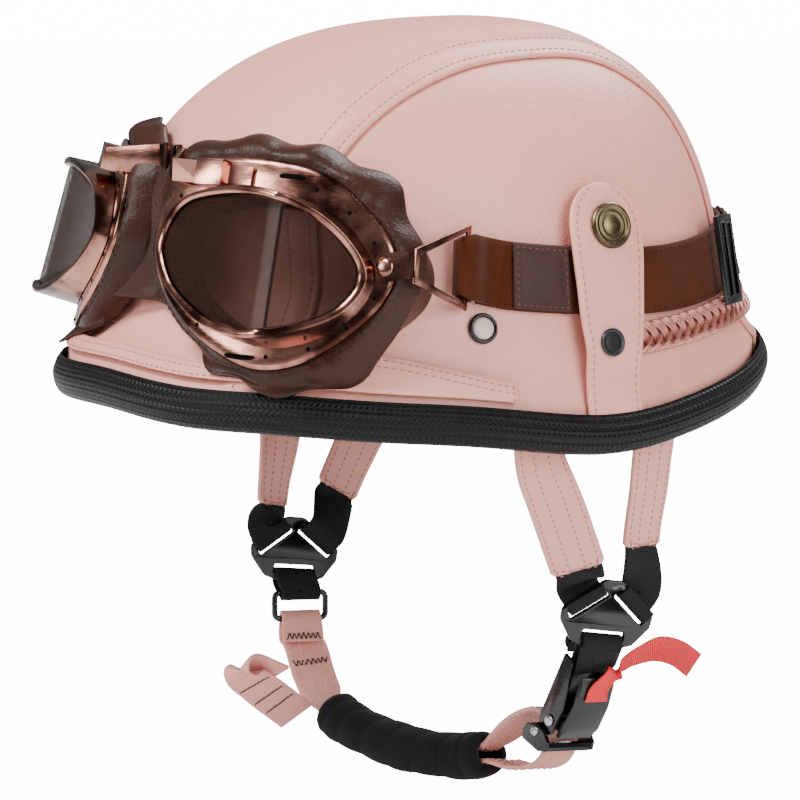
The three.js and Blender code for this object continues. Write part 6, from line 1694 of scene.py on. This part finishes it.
# %% [markdown]
# ## Ratchet buckle
# The buckle is stamped steel and moulded plastic: its CAD nodes get rounded edges, and bright rivet
# heads go over the ends of its two pins. The lever and its pull ribbon ride the moving body.

# %% Buckle
refined("buckle_body", BLACK, 0.35)
refined("buckle_clamp", BLACK, 0.35)
refined("buckle_lever", PLASTIC, 0.4, body="lever")
half = BUCKLE_WIDTH / 2
HEAD = [(0, 0), (0.9, 0), (1, 0.25), (0.9, 0.6), (0.5, 0.85), (0.1, 0.9), (0, 0.9)]
PINS = (
    (0, 0, half + 0.2, 2.6), (-0.24 * LONG, -0.4 * DEEP, half + FIT + BUCKLE_WALL, 2.3),
)
for side in (1, -1):
    for a, n, reach, radius in PINS:
        name, line = f"buckle_rivet_{side + 1}_{int(radius * 10)}", [(x * radius, y) for x, y in HEAD]
        dress(turned(name, line, on_buckle(a, side * reach, n), buckle_width * side, 32), STEEL)
left_bar = {
    "centre": on_buckle(0.85 * LONG, 0, -0.1 * DEEP),
    "radius": 1.3 + FIT + WEB_WALL / 2 + 0.2,
    "across": buckle_width,
}
loop_round("webbing_left_weave", yoke_bar(yoke_axes("left")), left_bar,
           2 * (half - BUCKLE_WALL) - 1.4, "webbing_left")

# %% The webbing's end, rolled up above the clamp
ROLL, ROLL_CORE, ROLL_TURNS, ROLL_WALL = 4.2, 1.1, 2.4, 1.15
roll_along, roll_out = 0.9 * LONG + ROLL + FIT + 0.2, -0.85 * DEEP
t = np.linspace(0, 1, 90)
angle, radius = t * 2 * np.pi * ROLL_TURNS + 0.6, ROLL_CORE + (ROLL - ROLL_CORE - 0.2) * t
widths = (-half + 1, -half / 2, 0, half / 2, half - 1)


def coil(inner):
    return np.array([
        [on_buckle(roll_along + r * math.cos(a), w, roll_out + r * math.sin(a)) for w in widths]
        for a, r in zip(angle, radius - inner)
    ])


dress(plate("webbing_roll_weave", coil(0), coil(ROLL_WALL)), WEBBING, "webbing_roll", crisp=60)

# %% Pull ribbon
RIBBON_WIDTH, RIBBON_WALL = 11, 0.8
held = [(on_buckle(a * LONG, 0, n * DEEP + 0.4 + FIT), buckle_width, k * RIBBON_WIDTH)
        for a, n, k in ((0.5, 0.98, 1), (0.66, 0.88, 0.9))]
free = [
    ((0.935, 0.54, 0.677), (0.3, 0.9, 0.5), 0.7), ((0.935, 0.6, 0.652), (0.3, -0.5, 0.9), 0.6),
    ((0.945, 0.67, 0.634), (0.3, -0.3, 0.95), 0.8), ((0.955, 0.76, 0.622), (0.2, -0.1, 0.97), 1),
    ((0.965, 0.86, 0.638), (0.1, 0.2, 0.97), 1), ((0.975, 0.95, 0.675), (0.1, 0.35, 0.93), 1),
]
stations = held + [(hung(*p), np.array(turn), k * RIBBON_WIDTH) for p, turn, k in free]
strap_body("pull_ribbon_cloth", stations, RIBBON_WALL, RIBBON, "pull_ribbon", density=12,
           body="lever")
print("Buckle and ribbon done")

# %% Elastic loops through the temple links
LINK_TURN, LINK_BAR, BULGE = 58.4, 2.4, 5.6
per = math.degrees(1 / HALF_WIDTH)
loop_low = float(under_band(LINK_TURN)) + BAND_WALL / 2
loop_high = loop_low + BAND_WALL + FIT + BULGE
nose_turn = LINK_TURN - (LINK_BAR / 2 + FIT + BAND_WALL / 2 + 0.4) * per
flat_lift = loop_low + BAND_WALL + FIT
path = [
    (61 - 1.2 * per, loop_low), (LINK_TURN, loop_low), (nose_turn, loop_low + 1.1),
    (nose_turn, loop_high - 1.1), (LINK_TURN + 0.4, loop_high), (62.6, flat_lift + 0.4),
    (65.5, flat_lift),
]
for name, side in SIDES:
    stations = []
    for turn, lift in path:
        p, above = (crown_at(side * turn, band_height(turn) + more, lift) for more in (0, 5))
        stations.append((p, above - p, BAND_WIDTH - (4.8 if turn < LINK_TURN else 0.6)))
    loop = f"band_loop_{name}"
    strap_body(f"{loop}_suede", stations, BAND_WALL, SUEDE, loop, density=6)

# %% All stitches grow from their rows, one object for each thread
THREADS = {
    "seam thread": (ROSE_THREAD, 0.0030, 0.0011, 0.00030),
    "strap thread": (ROSE_THREAD, 0.0026, 0.0009, 0.00028),
    "band thread": (SUEDE, 0.0028, 0.0010, 0.00028),
    "label thread": (RUST_THREAD, 0.0026, 0.0009, 0.00026),
    "mask thread": (DARK_THREAD, 0.0034, 0.0012, 0.00030),
    "chin thread": (THREAD, 0.0030, 0.0011, 0.00032),
    "bar tack": (DARK_THREAD, 0.0009, 0.0007, 0.00030),
}
for kind, rows in ROWS.items():
    sizes = dict(zip(("Thread", "Pitch", "Length", "Thickness"), THREADS[kind]))
    grown(line_object(rows), STITCHES, sizes, "stitches_" + kind.replace(" ", "_"))

# %% [markdown]
# ## Floor, light and camera
# The photo is a product shot: white surroundings and soft light from all round. The main light
# stands above the front, a weak one low before it, a broad one on the wearer's left and one behind.
# Floor and world are bright only where the camera sees them, since white walls would wash out the
# dark leather. The camera's place and lens come from a fit to the helmet's outline.

# %% Floor
pale, tree, shader = material("pale floor", (0.9, 0.9, 0.9), 0.6)
shader.inputs["Emission Color"].default_value = (1, 1, 1, 1)
seen = put(tree, "ShaderNodeLightPath").outputs["Is Camera Ray"]
tree.links.new(maths(tree, "MULTIPLY", seen, 14.0), shader.inputs["Emission Strength"])
FLOOR_Z, FLOOR_HALF = -0.1605, 6
corners = [(x * FLOOR_HALF, y * FLOOR_HALF, FLOOR_Z) for x, y in ((-1, -1), (1, -1), (1, 1), (-1, 1))]
mesh = bpy.data.meshes.new("floor")
mesh.from_pydata(corners, [], [(0, 1, 2, 3)])
floor_plane = bpy.data.objects.new("floor", mesh)
scene.collection.objects.link(floor_plane)
mesh.materials.append(pale)


# %% Lights and surroundings
def area(name, place, aim, size, power, colour=(1, 1, 1)):
    light = bpy.data.lights.new(name, "AREA")
    light.shape, light.size, light.energy, light.color = "SQUARE", size, power, colour
    obj = bpy.data.objects.new(name, light)
    scene.collection.objects.link(obj)
    obj.location = place
    obj.rotation_euler = (Vector(aim) - Vector(place)).to_track_quat("-Z", "Y").to_euler()


area("key", (0.0, -1.3, 1.6), (0, 0, 0.04), 0.7, 62)
area("front", (-0.12, -1.5, 0.5), (0, 0, 0.04), 0.45, 11)
area("fill", (1.7, 0.2, 0.7), (0, 0, 0.02), 1.1, 30)
area("back", (-0.4, 1.1, 1.4), (0, 0, 0.06), 0.9, 34)
world = bpy.data.worlds.new("studio")
world.use_nodes = True
studio = world.node_tree
studio.nodes["Background"].inputs["Color"].default_value = (1, 1, 1, 1)
seen = put(studio, "ShaderNodeLightPath").outputs["Is Camera Ray"]
glow = maths(studio, "MULTIPLY_ADD", seen, 16.0, 0.24)
studio.links.new(glow, studio.nodes["Background"].inputs["Strength"])
scene.world = world

# %% Camera
camera = bpy.data.objects.new("camera", bpy.data.cameras.new("camera"))
scene.collection.objects.link(camera)
right_way, up_way = (0.5493, 0.8352, 0.0270), (-0.1310, 0.0542, 0.9899)
back_way = (0.8253, -0.5473, 0.1392)
turn = Matrix((right_way, up_way, back_way)).transposed()
camera.matrix_world = Matrix.Translation(Vector((1.2211, -0.8113, 0.2056))) @ turn.to_4x4()
SENSOR, FOCAL_PIXELS, PICTURE_PIXELS = 36, 3653.3, 800
camera.data.sensor_width, camera.data.lens = SENSOR, FOCAL_PIXELS / PICTURE_PIXELS * SENSOR
camera.data.clip_start = 0.05
scene.camera = camera
